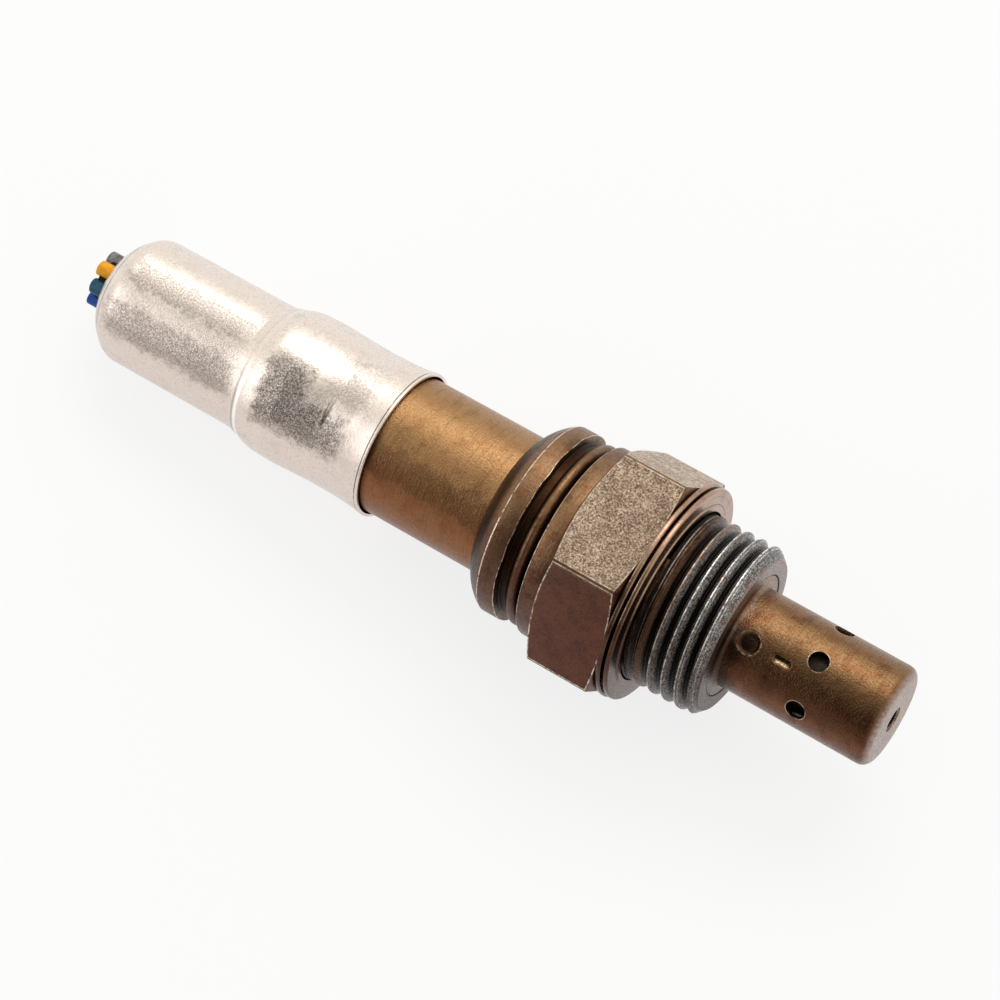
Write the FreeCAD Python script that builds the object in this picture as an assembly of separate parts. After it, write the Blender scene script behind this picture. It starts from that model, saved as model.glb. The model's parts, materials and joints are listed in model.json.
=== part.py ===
"""Oxygen sensor: heated flat-element exhaust sensor with a threaded, hexagonal steel shell.

The sensor is drawn along the X axis, with x = 0 at the face of the hexagon that presses the
gasket and the gas inlet at +X. At the end every piece is laid down together, the way the loose
sensor comes to rest: on one flat of its hexagon and on the rear shoulder of its sleeve.
All sizes are in millimetres. Angles about the axis are in degrees, from straight up towards +Y.
"""
import FreeCAD, Part
import math
import os

# Thread and its end
THREAD_RADIUS = 9.0
THREAD_LENGTH = 9.4
THREAD_CHAMFER = 0.9
RELIEF_RADIUS = 8.1
RELIEF_LENGTH = 1.2

# Hexagon, boss, buckled ring and crimped collar, from front to rear
HEX_SIDES = 6
HEX_ACROSS_FLATS = 22.0
HEX_LENGTH = 8.15
HEX_REAR_CHAMFER = 25.0
HEX_FRONT_CHAMFER = 15.0
BOSS_RADIUS = 10.3
BOSS_LENGTH = 1.65
NECK_RADIUS = 9.25
NECK_GAP = 0.4
BULGE_RADIUS = 9.9
BULGE_LENGTH = 1.5
GROOVE_LENGTH = 0.8
COLLAR_RADIUS = 10.2
COLLAR_LENGTH = 1.9
LIP_LENGTH = 2.4
LIP_BOW = 0.29

# Bore of the shell
CAVITY_RADIUS = 8.7
SEAT_END = -1.8
FRONT_BORE_RADIUS = 5.7
RECESS_RADIUS = 6.55
RECESS_DEPTH = 0.8

# Gasket, folded from sheet
GASKET_RADIUS = 11.6
GASKET_FRONT_RADIUS = 11.45
GASKET_BORE_RADIUS = 9.15
GASKET_SHEET = 0.55
GASKET_SLIT = 0.22
GASKET_HEEL = 0.12
GASKET_LAP_RADIUS = 9.85
GASKET_LAP = 0.14

# Protection tubes over the element
OUTER_TUBE_RADIUS = 5.25
OUTER_TUBE_WALL = 0.4
OUTER_TUBE_TIP = 25.9
OUTER_TUBE_ROUND = 1.3
INNER_TUBE_RADIUS = 4.1
INNER_TUBE_WALL = 0.35
INNER_TUBE_SETBACK = 2.5
INNER_TUBE_ROUND = 0.9
TUBE_ROOT_ROUND = 0.5
GAS_HOLES = 6
GAS_HOLE_DIAMETER = 2.05
GAS_HOLE_STATION = 18.05
GAS_HOLE_ANGLE = -4.0
INNER_HOLE_DIAMETER = 1.3
INNER_HOLE_STATION = 13.3
TIP_HOLE_DIAMETER = 1.8
TIP_RING_DIAMETER = 2.6
TIP_RING_DEPTH = 0.15
DIMPLES = 3
DIMPLE_ANGLE = -22.5
ROUND_DIMPLE_STATION = 11.4
ROUND_DIMPLE_DIAMETER = 2.4
ROUND_DIMPLE_DEPTH = 0.42
LONG_DIMPLE_STATION = 15.0
LONG_DIMPLE_LENGTH = 1.95
LONG_DIMPLE_WIDTH = 0.9
LONG_DIMPLE_DEPTH = 0.3

# Bronze coloured tube behind the shell
TUBE_RADIUS = 7.4
TUBE_WALL = 0.4
TUBE_FLANGE_ROUND = 0.5
TUBE_UNDER_LIP = 1.5
TUBE_CRIMP_TAPER = 1.2
TUBE_END_GAP = 0.5
TUBE_END_BORE_RADIUS = 5.65

# Silver sleeve, from its open lip to its rear rim
SLEEVE_WALL = 0.35
SLEEVE_LIP_STATION = -30.1
SLEEVE_LIP_RADIUS = 8.0
SLEEVE_FLARE_LENGTH = 3.4
SLEEVE_FLARE_BOW = -0.05
SLEEVE_WAIST_RADIUS = 7.62
SLEEVE_WAIST_STATION = -36.4
SLEEVE_BELLY_RADIUS = 7.84
SLEEVE_BELLY_STATION = -41.2
SLEEVE_NECK_FRONT = -43.4
SLEEVE_NECK_REAR = -47.4
SLEEVE_NECK_BOW = 0.05
SLEEVE_RADIUS = 6.87
SLEEVE_SHOULDER_STATION = -61.9
SLEEVE_DOME_STATION = -63.55
SLEEVE_DOME_RADIUS = 6.14
SLEEVE_DOME_BOW = 0.17
SLEEVE_NOSE_STATION = -65.05
SLEEVE_NOSE_RADIUS = 4.45
SLEEVE_NOSE_BOW = 0.12
SLEEVE_RIM_STATION = -65.4
SLEEVE_RIM_RADIUS = 3.5
SLEEVE_OPENING_RADIUS = 3.2
CRIMP_JAWS = 6
CRIMP_ANGLE = -13.0
CRIMP_FRONT = -33.9
CRIMP_STEP = -36.0
CRIMP_REAR = -40.2
CRIMP_FLAT_RADIUS = 7.6
CRIMP_SHALLOW_RADIUS = 7.63

# Wires, cut short behind the rim
WIRE_RADIUS = 0.82
WIRE_PITCH_RADIUS = 2.25
CONDUCTOR_RADIUS = 0.45
WIRE_STUB = 2.4
WIRE_ANGLES = {"grey": 56.0, "yellow": 3.0, "teal": -48.0, "blue": -97.0, "black": 161.0}
WIRE_TRIM_STEP = 0.05

# Rubber seal and ceramic blocks in the sleeve and the bronze tube
GROMMET_FRONT = -54.2
GROMMET_RIBS = 3
GROMMET_RIB_HEIGHT = 0.3
GROMMET_NOSE_LENGTH = 0.9
GROMMET_CORE_RADIUS = 2.3
GROMMET_CORE_LENGTH = 2.0
GROMMET_TAPER_LENGTH = 1.4
GROMMET_TAPER = 1.0
REAR_BLOCK_RADIUS = 5.5
REAR_BLOCK_FLANGE_RADIUS = 6.35
REAR_BLOCK_FLANGE = 1.5
REAR_BLOCK_NOSE = 1.7
FRONT_BLOCK_RADIUS = 5.2
FRONT_BLOCK_REAR = -39.6
FRONT_BLOCK_LENGTH = 9.0
CLAMP_SHEET = 0.3
CLAMP_LENGTH = 5.4
CLAMP_SLIT = 1.6
CERAMIC_EDGE = 0.3

# Element and contacts
ELEMENT_WIDTH = 4.0
ELEMENT_THICKNESS = 1.4
ELEMENT_CHAMFER = 0.2
ELEMENT_REAR = -38.9
ELEMENT_SETBACK = 2.8
CONTACT_WIDTH = 0.9
CONTACT_SHEET = 0.35
CONTACT_PITCH = 1.4
CONTACT_FRONT = -33.0
BARREL_RADIUS = 0.8
BARREL_LENGTH = 7.0

# Seals and ceramics in the shell
PACKING_SHEET = 0.5
CUP_SHEET = 0.4
CUP_RADIUS = 8.6
CUP_REAR = -9.2
SEAT_BORE_RADIUS = 6.0
HOLDER_NOSE_RADIUS = 5.4
HOLDER_NOSE_TIP = 1.5
HOLDER_REAR = -6.9
REAR_TALC_LENGTH = 2.0
REAR_CERAMIC_FLANGE = 1.2
REAR_CERAMIC_NECK_RADIUS = 6.2
REAR_CERAMIC_END = -19.0

# Clearances
FIT = 0.05
SLOT_CLEARANCE = 0.1
# How far a cutting shape runs past what it cuts
OVERSHOOT = 1.0

AXIS = FreeCAD.Vector(1, 0, 0)
ACROSS = FreeCAD.Vector(0, 1, 0)
ORIGIN = FreeCAD.Vector(0, 0, 0)

# Stations worked out from the sizes above
HEX_REAR = -HEX_LENGTH
BOSS_REAR = HEX_REAR - BOSS_LENGTH
BULGE_FRONT = BOSS_REAR - NECK_GAP
BULGE_REAR = BULGE_FRONT - BULGE_LENGTH
COLLAR_FRONT = BULGE_REAR - GROOVE_LENGTH
COLLAR_EDGE = COLLAR_FRONT - COLLAR_LENGTH
LIP_END = COLLAR_EDGE - LIP_LENGTH
RECESS_FLOOR = THREAD_LENGTH - RECESS_DEPTH
SEAT_RISE = CAVITY_RADIUS - FRONT_BORE_RADIUS
SEAT_START = SEAT_END - SEAT_RISE
LIP_BORE_RADIUS = TUBE_RADIUS + FIT
REAR_TALC_REAR = CUP_REAR - REAR_TALC_LENGTH
REAR_CERAMIC_SHOULDER = REAR_TALC_REAR - REAR_CERAMIC_FLANGE
TUBE_FLANGE_REAR = REAR_CERAMIC_SHOULDER - TUBE_WALL
FLANGE_RADIUS = CAVITY_RADIUS - FIT
GASKET_FRONT = 2 * GASKET_SHEET + GASKET_SLIT
TUBE_CRIMP_START = SLEEVE_LIP_STATION - TUBE_UNDER_LIP
TUBE_CRIMP_RADIUS = CRIMP_FLAT_RADIUS - SLEEVE_WALL - FIT
TUBE_END = SLEEVE_NECK_FRONT + TUBE_END_GAP
REAR_BLOCK_FLANGE_REAR = TUBE_END - REAR_BLOCK_FLANGE
WIRE_END = SLEEVE_RIM_STATION - WIRE_STUB
WIRE_TRIM = {
    "grey": 0.0,
    "yellow": 6 * WIRE_TRIM_STEP,
    "teal": 10 * WIRE_TRIM_STEP,
    "blue": 3 * WIRE_TRIM_STEP,
    "black": 12 * WIRE_TRIM_STEP,
}
FLANGE_OUTER_RADIUS = RECESS_RADIUS - FIT
INNER_FLANGE = RECESS_FLOOR
OUTER_FLANGE = INNER_FLANGE + INNER_TUBE_WALL
INNER_TUBE_TIP = OUTER_TUBE_TIP - INNER_TUBE_SETBACK
ELEMENT_TIP = INNER_TUBE_TIP - ELEMENT_SETBACK
CRIMPS = (
    (CRIMP_REAR, CRIMP_STEP, CRIMP_FLAT_RADIUS),
    (CRIMP_STEP, CRIMP_FRONT, CRIMP_SHALLOW_RADIUS),
)
BARREL_FRONT = TUBE_END + REAR_BLOCK_NOSE
BARREL_REAR = BARREL_FRONT - BARREL_LENGTH
FRONT_BLOCK_FRONT = FRONT_BLOCK_REAR + FRONT_BLOCK_LENGTH
BLADE_HEIGHT = (ELEMENT_THICKNESS + CONTACT_SHEET) / 2
BLADE_PLACES = {
    "grey": (CONTACT_PITCH, BLADE_HEIGHT),
    "yellow": (0.0, BLADE_HEIGHT),
    "teal": (-CONTACT_PITCH, BLADE_HEIGHT),
    "blue": (-CONTACT_PITCH / 2, -BLADE_HEIGHT),
    "black": (CONTACT_PITCH / 2, -BLADE_HEIGHT),
}


def at(x, radius, angle=0.0):
    """Point at a station, a distance from the axis and an angle about it."""
    turn = math.radians(angle)
    return FreeCAD.Vector(x, radius * math.sin(turn), radius * math.cos(turn))


class Outline:
    """A closed outline beside the axis, drawn with lines and three-point arcs, then turned."""

    def __init__(self, x, radius):
        self.start = at(x, radius)
        self.pen = self.start
        self.edges = []

    def line(self, x, radius):
        end = at(x, radius)
        self.edges.append(Part.LineSegment(self.pen, end).toShape())
        self.pen = end
        return self

    def arc(self, mid_x, mid_radius, x, radius):
        end = at(x, radius)
        self.edges.append(Part.Arc(self.pen, at(mid_x, mid_radius), end).toShape())
        self.pen = end
        return self

    def bowed(self, x, radius, bow):
        """Arc that bows away from the axis between its ends, or towards it with a minus."""
        run = x - self.pen.x
        rise = radius - self.pen.z
        side = math.copysign(bow, run) / math.hypot(run, rise)
        middle_x = (self.pen.x + x) / 2 - rise * side
        return self.arc(middle_x, (self.pen.z + radius) / 2 + run * side, x, radius)

    def turned(self):
        if self.pen.distanceToPoint(self.start) > 1e-6:
            self.edges.append(Part.LineSegment(self.pen, self.start).toShape())
        face = Part.Face(Part.Wire(self.edges))
        return face.revolve(ORIGIN, AXIS, 360.0)


def rod(start_x, end_x, radius, offset=ORIGIN):
    """Round rod along the axis between two stations."""
    base = FreeCAD.Vector(start_x, offset.y, offset.z)
    return Part.makeCylinder(radius, end_x - start_x, base, AXIS)


def block(start_x, end_x, width, height, y=0.0, z=0.0):
    """Box along the axis with its section centred on y, z."""
    corner = FreeCAD.Vector(start_x, y - width / 2, z - height / 2)
    return Part.makeBox(end_x - start_x, width, height, corner)


def element_slot(start_x, end_x):
    """Room for the flat element through a ceramic or a powder seal."""
    return block(start_x, end_x, ELEMENT_WIDTH + SLOT_CLEARANCE, ELEMENT_THICKNESS + SLOT_CLEARANCE)


def regular_prism(start_x, end_x, flat_radius, sides, first_flat=0.0):
    """Regular prism along the axis with one flat turned to the given angle."""
    corner_radius = flat_radius / math.cos(math.pi / sides)
    step = 360.0 / sides
    corners = [at(start_x, corner_radius, first_flat + step * (i + 0.5)) for i in range(sides)]
    face = Part.Face(Part.makePolygon(corners + corners[:1]))
    return face.extrude(AXIS * (end_x - start_x))


# Shell: hexagon, thread, buckled neck and crimped collar in one turned piece
def shell_outside():
    flat = HEX_ACROSS_FLATS / 2
    corner = flat / math.cos(math.pi / HEX_SIDES)
    rear_rise = (corner - BOSS_RADIUS) * math.tan(math.radians(HEX_REAR_CHAMFER))
    front_rise = (corner - flat) * math.tan(math.radians(HEX_FRONT_CHAMFER))
    hex_blank = Outline(HEX_REAR, 0).line(HEX_REAR, BOSS_RADIUS).line(HEX_REAR + rear_rise, corner)
    hex_blank = hex_blank.line(-front_rise, corner).line(0, flat).line(0, 0).turned()
    hexagon = hex_blank.common(regular_prism(HEX_REAR, 0, flat, HEX_SIDES))
    bulge_mid = (BULGE_FRONT + BULGE_REAR) / 2
    turned = Outline(LIP_END, 0).line(LIP_END, LIP_BORE_RADIUS)
    turned.bowed(COLLAR_EDGE, COLLAR_RADIUS, LIP_BOW)
    turned.line(COLLAR_FRONT, COLLAR_RADIUS).line(COLLAR_FRONT, NECK_RADIUS).line(BULGE_REAR, NECK_RADIUS)
    turned.arc(bulge_mid, BULGE_RADIUS, BULGE_FRONT, NECK_RADIUS)
    turned.line(BOSS_REAR, NECK_RADIUS).line(BOSS_REAR, BOSS_RADIUS).line(HEX_REAR, BOSS_RADIUS)
    turned.line(HEX_REAR, RELIEF_RADIUS).line(RELIEF_LENGTH, RELIEF_RADIUS)
    relief_rise = THREAD_RADIUS - RELIEF_RADIUS
    turned.line(RELIEF_LENGTH + relief_rise, THREAD_RADIUS)
    turned.line(THREAD_LENGTH - THREAD_CHAMFER, THREAD_RADIUS)
    turned.line(THREAD_LENGTH, THREAD_RADIUS - THREAD_CHAMFER).line(THREAD_LENGTH, 0)
    return turned.turned().fuse(hexagon).removeSplitter()


def make_shell():
    cone_rise = CAVITY_RADIUS - LIP_BORE_RADIUS
    bore = Outline(LIP_END, 0).line(LIP_END, LIP_BORE_RADIUS)
    bore.line(COLLAR_EDGE - cone_rise, LIP_BORE_RADIUS).line(COLLAR_EDGE, CAVITY_RADIUS)
    bore.line(SEAT_START, CAVITY_RADIUS).line(SEAT_END, FRONT_BORE_RADIUS)
    bore.line(RECESS_FLOOR, FRONT_BORE_RADIUS).line(RECESS_FLOOR, RECESS_RADIUS)
    bore.line(THREAD_LENGTH, RECESS_RADIUS).line(THREAD_LENGTH, 0)
    return shell_outside().cut(bore.turned())


def make_crush_gasket():
    """Folded sheet ring: two layers joined at the bore, open at the rim, with a lap in front."""
    slit_rear = GASKET_SHEET
    slit_front = GASKET_SHEET + GASKET_SLIT
    slit_root = GASKET_BORE_RADIUS + GASKET_SHEET
    rear_bead = GASKET_SHEET / 2
    front_bead = slit_front + GASKET_SHEET / 2
    rear_round = GASKET_RADIUS - rear_bead
    front_round = GASKET_FRONT_RADIUS - rear_bead
    lap_face = GASKET_FRONT + GASKET_LAP
    section = Outline(GASKET_HEEL, GASKET_BORE_RADIUS).line(0, GASKET_BORE_RADIUS + GASKET_HEEL)
    section.line(0, rear_round).arc(rear_bead, GASKET_RADIUS, slit_rear, rear_round)
    section.line(slit_rear, slit_root)
    section.arc((slit_rear + slit_front) / 2, slit_root - GASKET_SLIT / 2, slit_front, slit_root)
    section.line(slit_front, front_round).arc(front_bead, GASKET_FRONT_RADIUS, GASKET_FRONT, front_round)
    section.line(GASKET_FRONT, GASKET_LAP_RADIUS).line(lap_face, GASKET_LAP_RADIUS - GASKET_LAP)
    section.line(lap_face, GASKET_BORE_RADIUS + GASKET_HEEL)
    section.line(lap_face - GASKET_HEEL, GASKET_BORE_RADIUS)
    return section.turned()


# Protection tubes: drawn cups with a flange that sits in the shell's end
def drawn_cup(flange_x, radius, wall, tip, corner_round, root_round):
    """Thin cup about the axis: flange, rounded root, wall, rounded corner and closed end."""
    bend = 1 - math.sqrt(0.5)
    inside = radius - wall
    inner_round = corner_round - wall
    front = flange_x + wall
    root_x = front + root_round
    corner_x = tip - corner_round
    outer_root = root_round + wall
    cup = Outline(flange_x, FLANGE_OUTER_RADIUS).line(front, FLANGE_OUTER_RADIUS)
    cup.line(front, radius + root_round)
    cup.arc(front + bend * root_round, radius + bend * root_round, root_x, radius)
    cup.line(corner_x, radius)
    cup.arc(tip - bend * corner_round, radius - bend * corner_round, tip, radius - corner_round)
    cup.line(tip, 0).line(tip - wall, 0).line(tip - wall, inside - inner_round)
    cup.arc(tip - wall - bend * inner_round, inside - bend * inner_round, corner_x, inside)
    cup.line(root_x, inside)
    cup.arc(flange_x + bend * outer_root, inside + bend * outer_root, flange_x, inside + outer_root)
    return cup.turned()


def drill_round(shape, count, first_angle, station, diameter, reach):
    """Ring of round holes drilled from outside towards the axis."""
    for i in range(count):
        angle = first_angle + 360.0 * i / count
        start = at(station, reach, angle)
        drill = Part.makeCylinder(diameter / 2, reach, start, at(0, -1, angle))
        shape = shape.cut(drill)
    return shape


def ball_for(width, depth):
    """Radius of the ball that leaves a dimple of this width and depth in a flat sheet."""
    return (width * width / 4 + depth * depth) / (2 * depth)


def press_dimple(shape, station, length, width, depth, angle):
    """Press a round or long dimple into the outer tube, with its bulge on the inside."""
    ball = ball_for(width, depth)
    run = max(length - width, 0.0)
    height = OUTER_TUBE_RADIUS - depth + ball
    bulge_radius = ball + OUTER_TUBE_WALL
    inside = rod(station - length, station + length, OUTER_TUBE_RADIUS - OUTER_TUBE_WALL / 2)
    punch = None
    bulge = None
    for end in (-run / 2, run / 2):
        centre = at(station + end, height, angle)
        tip = Part.makeSphere(ball, centre)
        back = Part.makeSphere(bulge_radius, centre)
        punch = tip if punch is None else punch.fuse(tip)
        bulge = back if bulge is None else bulge.fuse(back)
    if run > 0:
        centre = at(station - run / 2, height, angle)
        punch = punch.fuse(Part.makeCylinder(ball, run, centre, AXIS))
        bulge = bulge.fuse(Part.makeCylinder(bulge_radius, run, centre, AXIS))
    return shape.fuse(bulge.common(inside)).cut(punch)


def make_outer_protector():
    tube = drawn_cup(OUTER_FLANGE, OUTER_TUBE_RADIUS, OUTER_TUBE_WALL, OUTER_TUBE_TIP,
                     OUTER_TUBE_ROUND, TUBE_ROOT_ROUND)
    tube = drill_round(tube, GAS_HOLES, GAS_HOLE_ANGLE, GAS_HOLE_STATION, GAS_HOLE_DIAMETER,
                       OUTER_TUBE_RADIUS + OVERSHOOT)
    for i in range(DIMPLES):
        angle = DIMPLE_ANGLE + 360.0 * i / DIMPLES
        tube = press_dimple(tube, ROUND_DIMPLE_STATION, ROUND_DIMPLE_DIAMETER,
                            ROUND_DIMPLE_DIAMETER, ROUND_DIMPLE_DEPTH, angle)
        tube = press_dimple(tube, LONG_DIMPLE_STATION, LONG_DIMPLE_LENGTH,
                            LONG_DIMPLE_WIDTH, LONG_DIMPLE_DEPTH, angle)
    past_tip = OUTER_TUBE_TIP + OVERSHOOT
    tube = tube.cut(rod(OUTER_TUBE_TIP - TIP_RING_DEPTH, past_tip, TIP_RING_DIAMETER / 2))
    return tube.cut(rod(OUTER_TUBE_TIP - OVERSHOOT, past_tip, TIP_HOLE_DIAMETER / 2))


def make_inner_protector():
    tube = drawn_cup(INNER_FLANGE, INNER_TUBE_RADIUS, INNER_TUBE_WALL, INNER_TUBE_TIP,
                     INNER_TUBE_ROUND, TUBE_ROOT_ROUND)
    half_step = 180.0 / GAS_HOLES
    tube = drill_round(tube, GAS_HOLES, GAS_HOLE_ANGLE + half_step, INNER_HOLE_STATION,
                       INNER_HOLE_DIAMETER, INNER_TUBE_RADIUS + OVERSHOOT)
    past_tip = INNER_TUBE_TIP + OVERSHOOT
    return tube.cut(rod(INNER_TUBE_TIP - OVERSHOOT, past_tip, TIP_HOLE_DIAMETER / 2))


# Bronze coloured tube, flanged under the collar and crimped inside the sleeve
def make_heat_tube():
    bend = 1 - math.sqrt(0.5)
    inside = TUBE_RADIUS - TUBE_WALL
    crimp_inside = TUBE_CRIMP_RADIUS - TUBE_WALL
    crimp_rear = TUBE_CRIMP_START - TUBE_CRIMP_TAPER
    outer_round = TUBE_FLANGE_ROUND + TUBE_WALL
    tube = Outline(REAR_CERAMIC_SHOULDER, FLANGE_RADIUS).line(TUBE_FLANGE_REAR, FLANGE_RADIUS)
    tube.line(TUBE_FLANGE_REAR, TUBE_RADIUS + TUBE_FLANGE_ROUND)
    tube.arc(TUBE_FLANGE_REAR - bend * TUBE_FLANGE_ROUND, TUBE_RADIUS + bend * TUBE_FLANGE_ROUND,
             TUBE_FLANGE_REAR - TUBE_FLANGE_ROUND, TUBE_RADIUS)
    tube.line(TUBE_CRIMP_START, TUBE_RADIUS).line(crimp_rear, TUBE_CRIMP_RADIUS)
    tube.line(TUBE_END, TUBE_CRIMP_RADIUS).line(TUBE_END, TUBE_END_BORE_RADIUS)
    tube.line(TUBE_END + TUBE_WALL, TUBE_END_BORE_RADIUS).line(TUBE_END + TUBE_WALL, crimp_inside)
    tube.line(crimp_rear, crimp_inside).line(TUBE_CRIMP_START, inside)
    tube.line(TUBE_FLANGE_REAR - TUBE_FLANGE_ROUND, inside)
    tube.arc(REAR_CERAMIC_SHOULDER - bend * outer_round, inside + bend * outer_round,
             REAR_CERAMIC_SHOULDER, inside + outer_round)
    return tube.turned()


# Silver sleeve with its necked front, crimped waist and rounded rear end
def sleeve_solid(inset):
    """The sleeve's outer form, or with an inset the space inside it, as a closed solid."""
    waist_radius = SLEEVE_WAIST_RADIUS - inset
    belly_radius = SLEEVE_BELLY_RADIUS - inset
    rear_radius = SLEEVE_RADIUS - inset
    flare_rear = SLEEVE_LIP_STATION - SLEEVE_FLARE_LENGTH
    neck_middle = (SLEEVE_NECK_FRONT + SLEEVE_NECK_REAR) / 2
    middle_radius = (belly_radius + rear_radius) / 2
    solid = Outline(SLEEVE_LIP_STATION, 0).line(SLEEVE_LIP_STATION, SLEEVE_LIP_RADIUS - inset)
    solid.bowed(flare_rear, waist_radius + FIT, SLEEVE_FLARE_BOW)
    solid.line(SLEEVE_WAIST_STATION, waist_radius).line(SLEEVE_BELLY_STATION, belly_radius)
    solid.line(SLEEVE_NECK_FRONT, belly_radius - FIT)
    solid.bowed(neck_middle, middle_radius, SLEEVE_NECK_BOW)
    solid.bowed(SLEEVE_NECK_REAR, rear_radius, -SLEEVE_NECK_BOW)
    solid.line(SLEEVE_SHOULDER_STATION, rear_radius)
    slope = inset * math.sqrt(0.5)
    solid.bowed(SLEEVE_DOME_STATION + slope, SLEEVE_DOME_RADIUS - slope, SLEEVE_DOME_BOW)
    solid.bowed(SLEEVE_NOSE_STATION + inset, SLEEVE_NOSE_RADIUS - slope, SLEEVE_NOSE_BOW)
    rim = SLEEVE_RIM_STATION + inset
    solid = solid.line(rim, SLEEVE_RIM_RADIUS).line(rim, 0).turned()
    for start, end, flat in CRIMPS:
        solid = solid.cut(crimp_cutter(start, end, flat - inset))
    return solid


def crimp_cutter(start_x, end_x, flat_radius):
    """What the crimping jaws press away between two stations."""
    blank = rod(start_x, end_x, SLEEVE_BELLY_RADIUS + OVERSHOOT)
    return blank.cut(regular_prism(start_x, end_x, flat_radius, CRIMP_JAWS, CRIMP_ANGLE))


def make_sleeve():
    sleeve = sleeve_solid(0.0).cut(sleeve_solid(SLEEVE_WALL))
    past_rim = SLEEVE_RIM_STATION - OVERSHOOT
    return sleeve.cut(rod(past_rim, SLEEVE_SHOULDER_STATION, SLEEVE_OPENING_RADIUS))


# Wires
def wire_place(colour):
    return at(0, WIRE_PITCH_RADIUS, WIRE_ANGLES[colour])


def make_insulation(colour):
    place = wire_place(colour)
    end = WIRE_END + WIRE_TRIM[colour]
    return rod(end, GROMMET_FRONT, WIRE_RADIUS, place).cut(rod(end, GROMMET_FRONT, CONDUCTOR_RADIUS, place))


def make_conductor(colour):
    place = wire_place(colour)
    return rod(WIRE_END + WIRE_TRIM[colour], BARREL_REAR, CONDUCTOR_RADIUS, place)


# Rubber seal
def make_grommet():
    shoulder = SLEEVE_SHOULDER_STATION
    body_radius = SLEEVE_RADIUS - SLEEVE_WALL - FIT
    core_radius = body_radius - GROMMET_RIB_HEIGHT
    nose_radius = SLEEVE_OPENING_RADIUS - FIT
    length = GROMMET_FRONT - shoulder
    pitch = length / (GROMMET_RIBS + 0.5)
    nose = SLEEVE_RIM_STATION + 2 * SLEEVE_WALL
    seal = Outline(nose, 0).line(nose, nose_radius).line(nose + GROMMET_NOSE_LENGTH, nose_radius)
    seal.line(shoulder - GROMMET_TAPER_LENGTH, core_radius - GROMMET_TAPER)
    seal.line(shoulder, core_radius)
    for i in range(GROMMET_RIBS):
        start = shoulder + pitch * (i + 0.5)
        middle = start + pitch / 4
        seal.line(start, core_radius).arc(middle, body_radius, start + pitch / 2, core_radius)
    seal.line(GROMMET_FRONT, core_radius).line(GROMMET_FRONT, 0)
    seal = seal.turned().fuse(rod(nose - GROMMET_CORE_LENGTH, nose, GROMMET_CORE_RADIUS))
    for colour in WIRE_ANGLES:
        channel = rod(WIRE_END, GROMMET_FRONT + OVERSHOOT, WIRE_RADIUS + FIT / 2, wire_place(colour))
        seal = seal.cut(channel)
    return seal


# Contacts: a barrel crimped on each conductor, a bent strip and a blade on the element
def strip_section(x, y, z):
    """Closed rectangle of the contact strip's section at one station."""
    half_width = CONTACT_WIDTH / 2
    half_sheet = CONTACT_SHEET / 2
    corners = [(-half_width, -half_sheet), (half_width, -half_sheet),
               (half_width, half_sheet), (-half_width, half_sheet)]
    points = [FreeCAD.Vector(x, y + dy, z + dz) for dy, dz in corners]
    return Part.makePolygon(points + points[:1])


def make_contact(colour):
    place = wire_place(colour)
    y, z = BLADE_PLACES[colour]
    barrel = rod(BARREL_REAR, BARREL_FRONT, BARREL_RADIUS, place)
    bend = Part.makeLoft([strip_section(BARREL_FRONT, place.y, place.z),
                          strip_section(FRONT_BLOCK_REAR, y, z)], True, True)
    blade = block(FRONT_BLOCK_REAR, CONTACT_FRONT, CONTACT_WIDTH, CONTACT_SHEET, y, z)
    return barrel.fuse(bend).fuse(blade)


# Ceramic blocks round the contacts
def make_rear_block():
    rear = ring_body(GROMMET_FRONT, BARREL_FRONT, REAR_BLOCK_RADIUS)
    body = rear.fuse(rod(REAR_BLOCK_FLANGE_REAR, TUBE_END, REAR_BLOCK_FLANGE_RADIUS))
    for colour in WIRE_ANGLES:
        place = wire_place(colour)
        body = body.cut(rod(BARREL_REAR, BARREL_FRONT, BARREL_RADIUS + FIT, place))
        body = body.cut(rod(GROMMET_FRONT, BARREL_REAR, CONDUCTOR_RADIUS + FIT, place))
    return body


def ring_body(start_x, end_x, radius):
    """Solid round body with both rims broken."""
    edge = CERAMIC_EDGE
    body = Outline(start_x, 0).line(start_x, radius - edge).line(start_x + edge, radius)
    return body.line(end_x - edge, radius).line(end_x, radius - edge).line(end_x, 0).turned()


def make_front_block():
    body = ring_body(FRONT_BLOCK_REAR, FRONT_BLOCK_FRONT, FRONT_BLOCK_RADIUS)
    chamber_height = ELEMENT_THICKNESS + 2 * (CONTACT_SHEET + FIT)
    chamber_width = max(2 * CONTACT_PITCH + CONTACT_WIDTH, ELEMENT_WIDTH) + SLOT_CLEARANCE
    chamber = block(FRONT_BLOCK_REAR, CONTACT_FRONT + FIT, chamber_width, chamber_height)
    return body.cut(chamber).cut(element_slot(CONTACT_FRONT, FRONT_BLOCK_FRONT))


def make_spring_clamp():
    """Slit, bowed sheet ring that holds the front block in the tube."""
    tube_inside = TUBE_CRIMP_RADIUS - TUBE_WALL - FIT
    seat = FRONT_BLOCK_RADIUS + FIT
    start = FRONT_BLOCK_REAR + (FRONT_BLOCK_LENGTH - CLAMP_LENGTH) / 2
    end = start + CLAMP_LENGTH
    middle = (start + end) / 2
    clamp = Outline(start, seat).arc(middle, tube_inside - CLAMP_SHEET, end, seat)
    clamp.line(end, seat + CLAMP_SHEET).arc(middle, tube_inside, start, seat + CLAMP_SHEET)
    slit = block(start, end, CLAMP_SLIT, 2 * tube_inside, 0, tube_inside)
    return clamp.turned().cut(slit)


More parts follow.
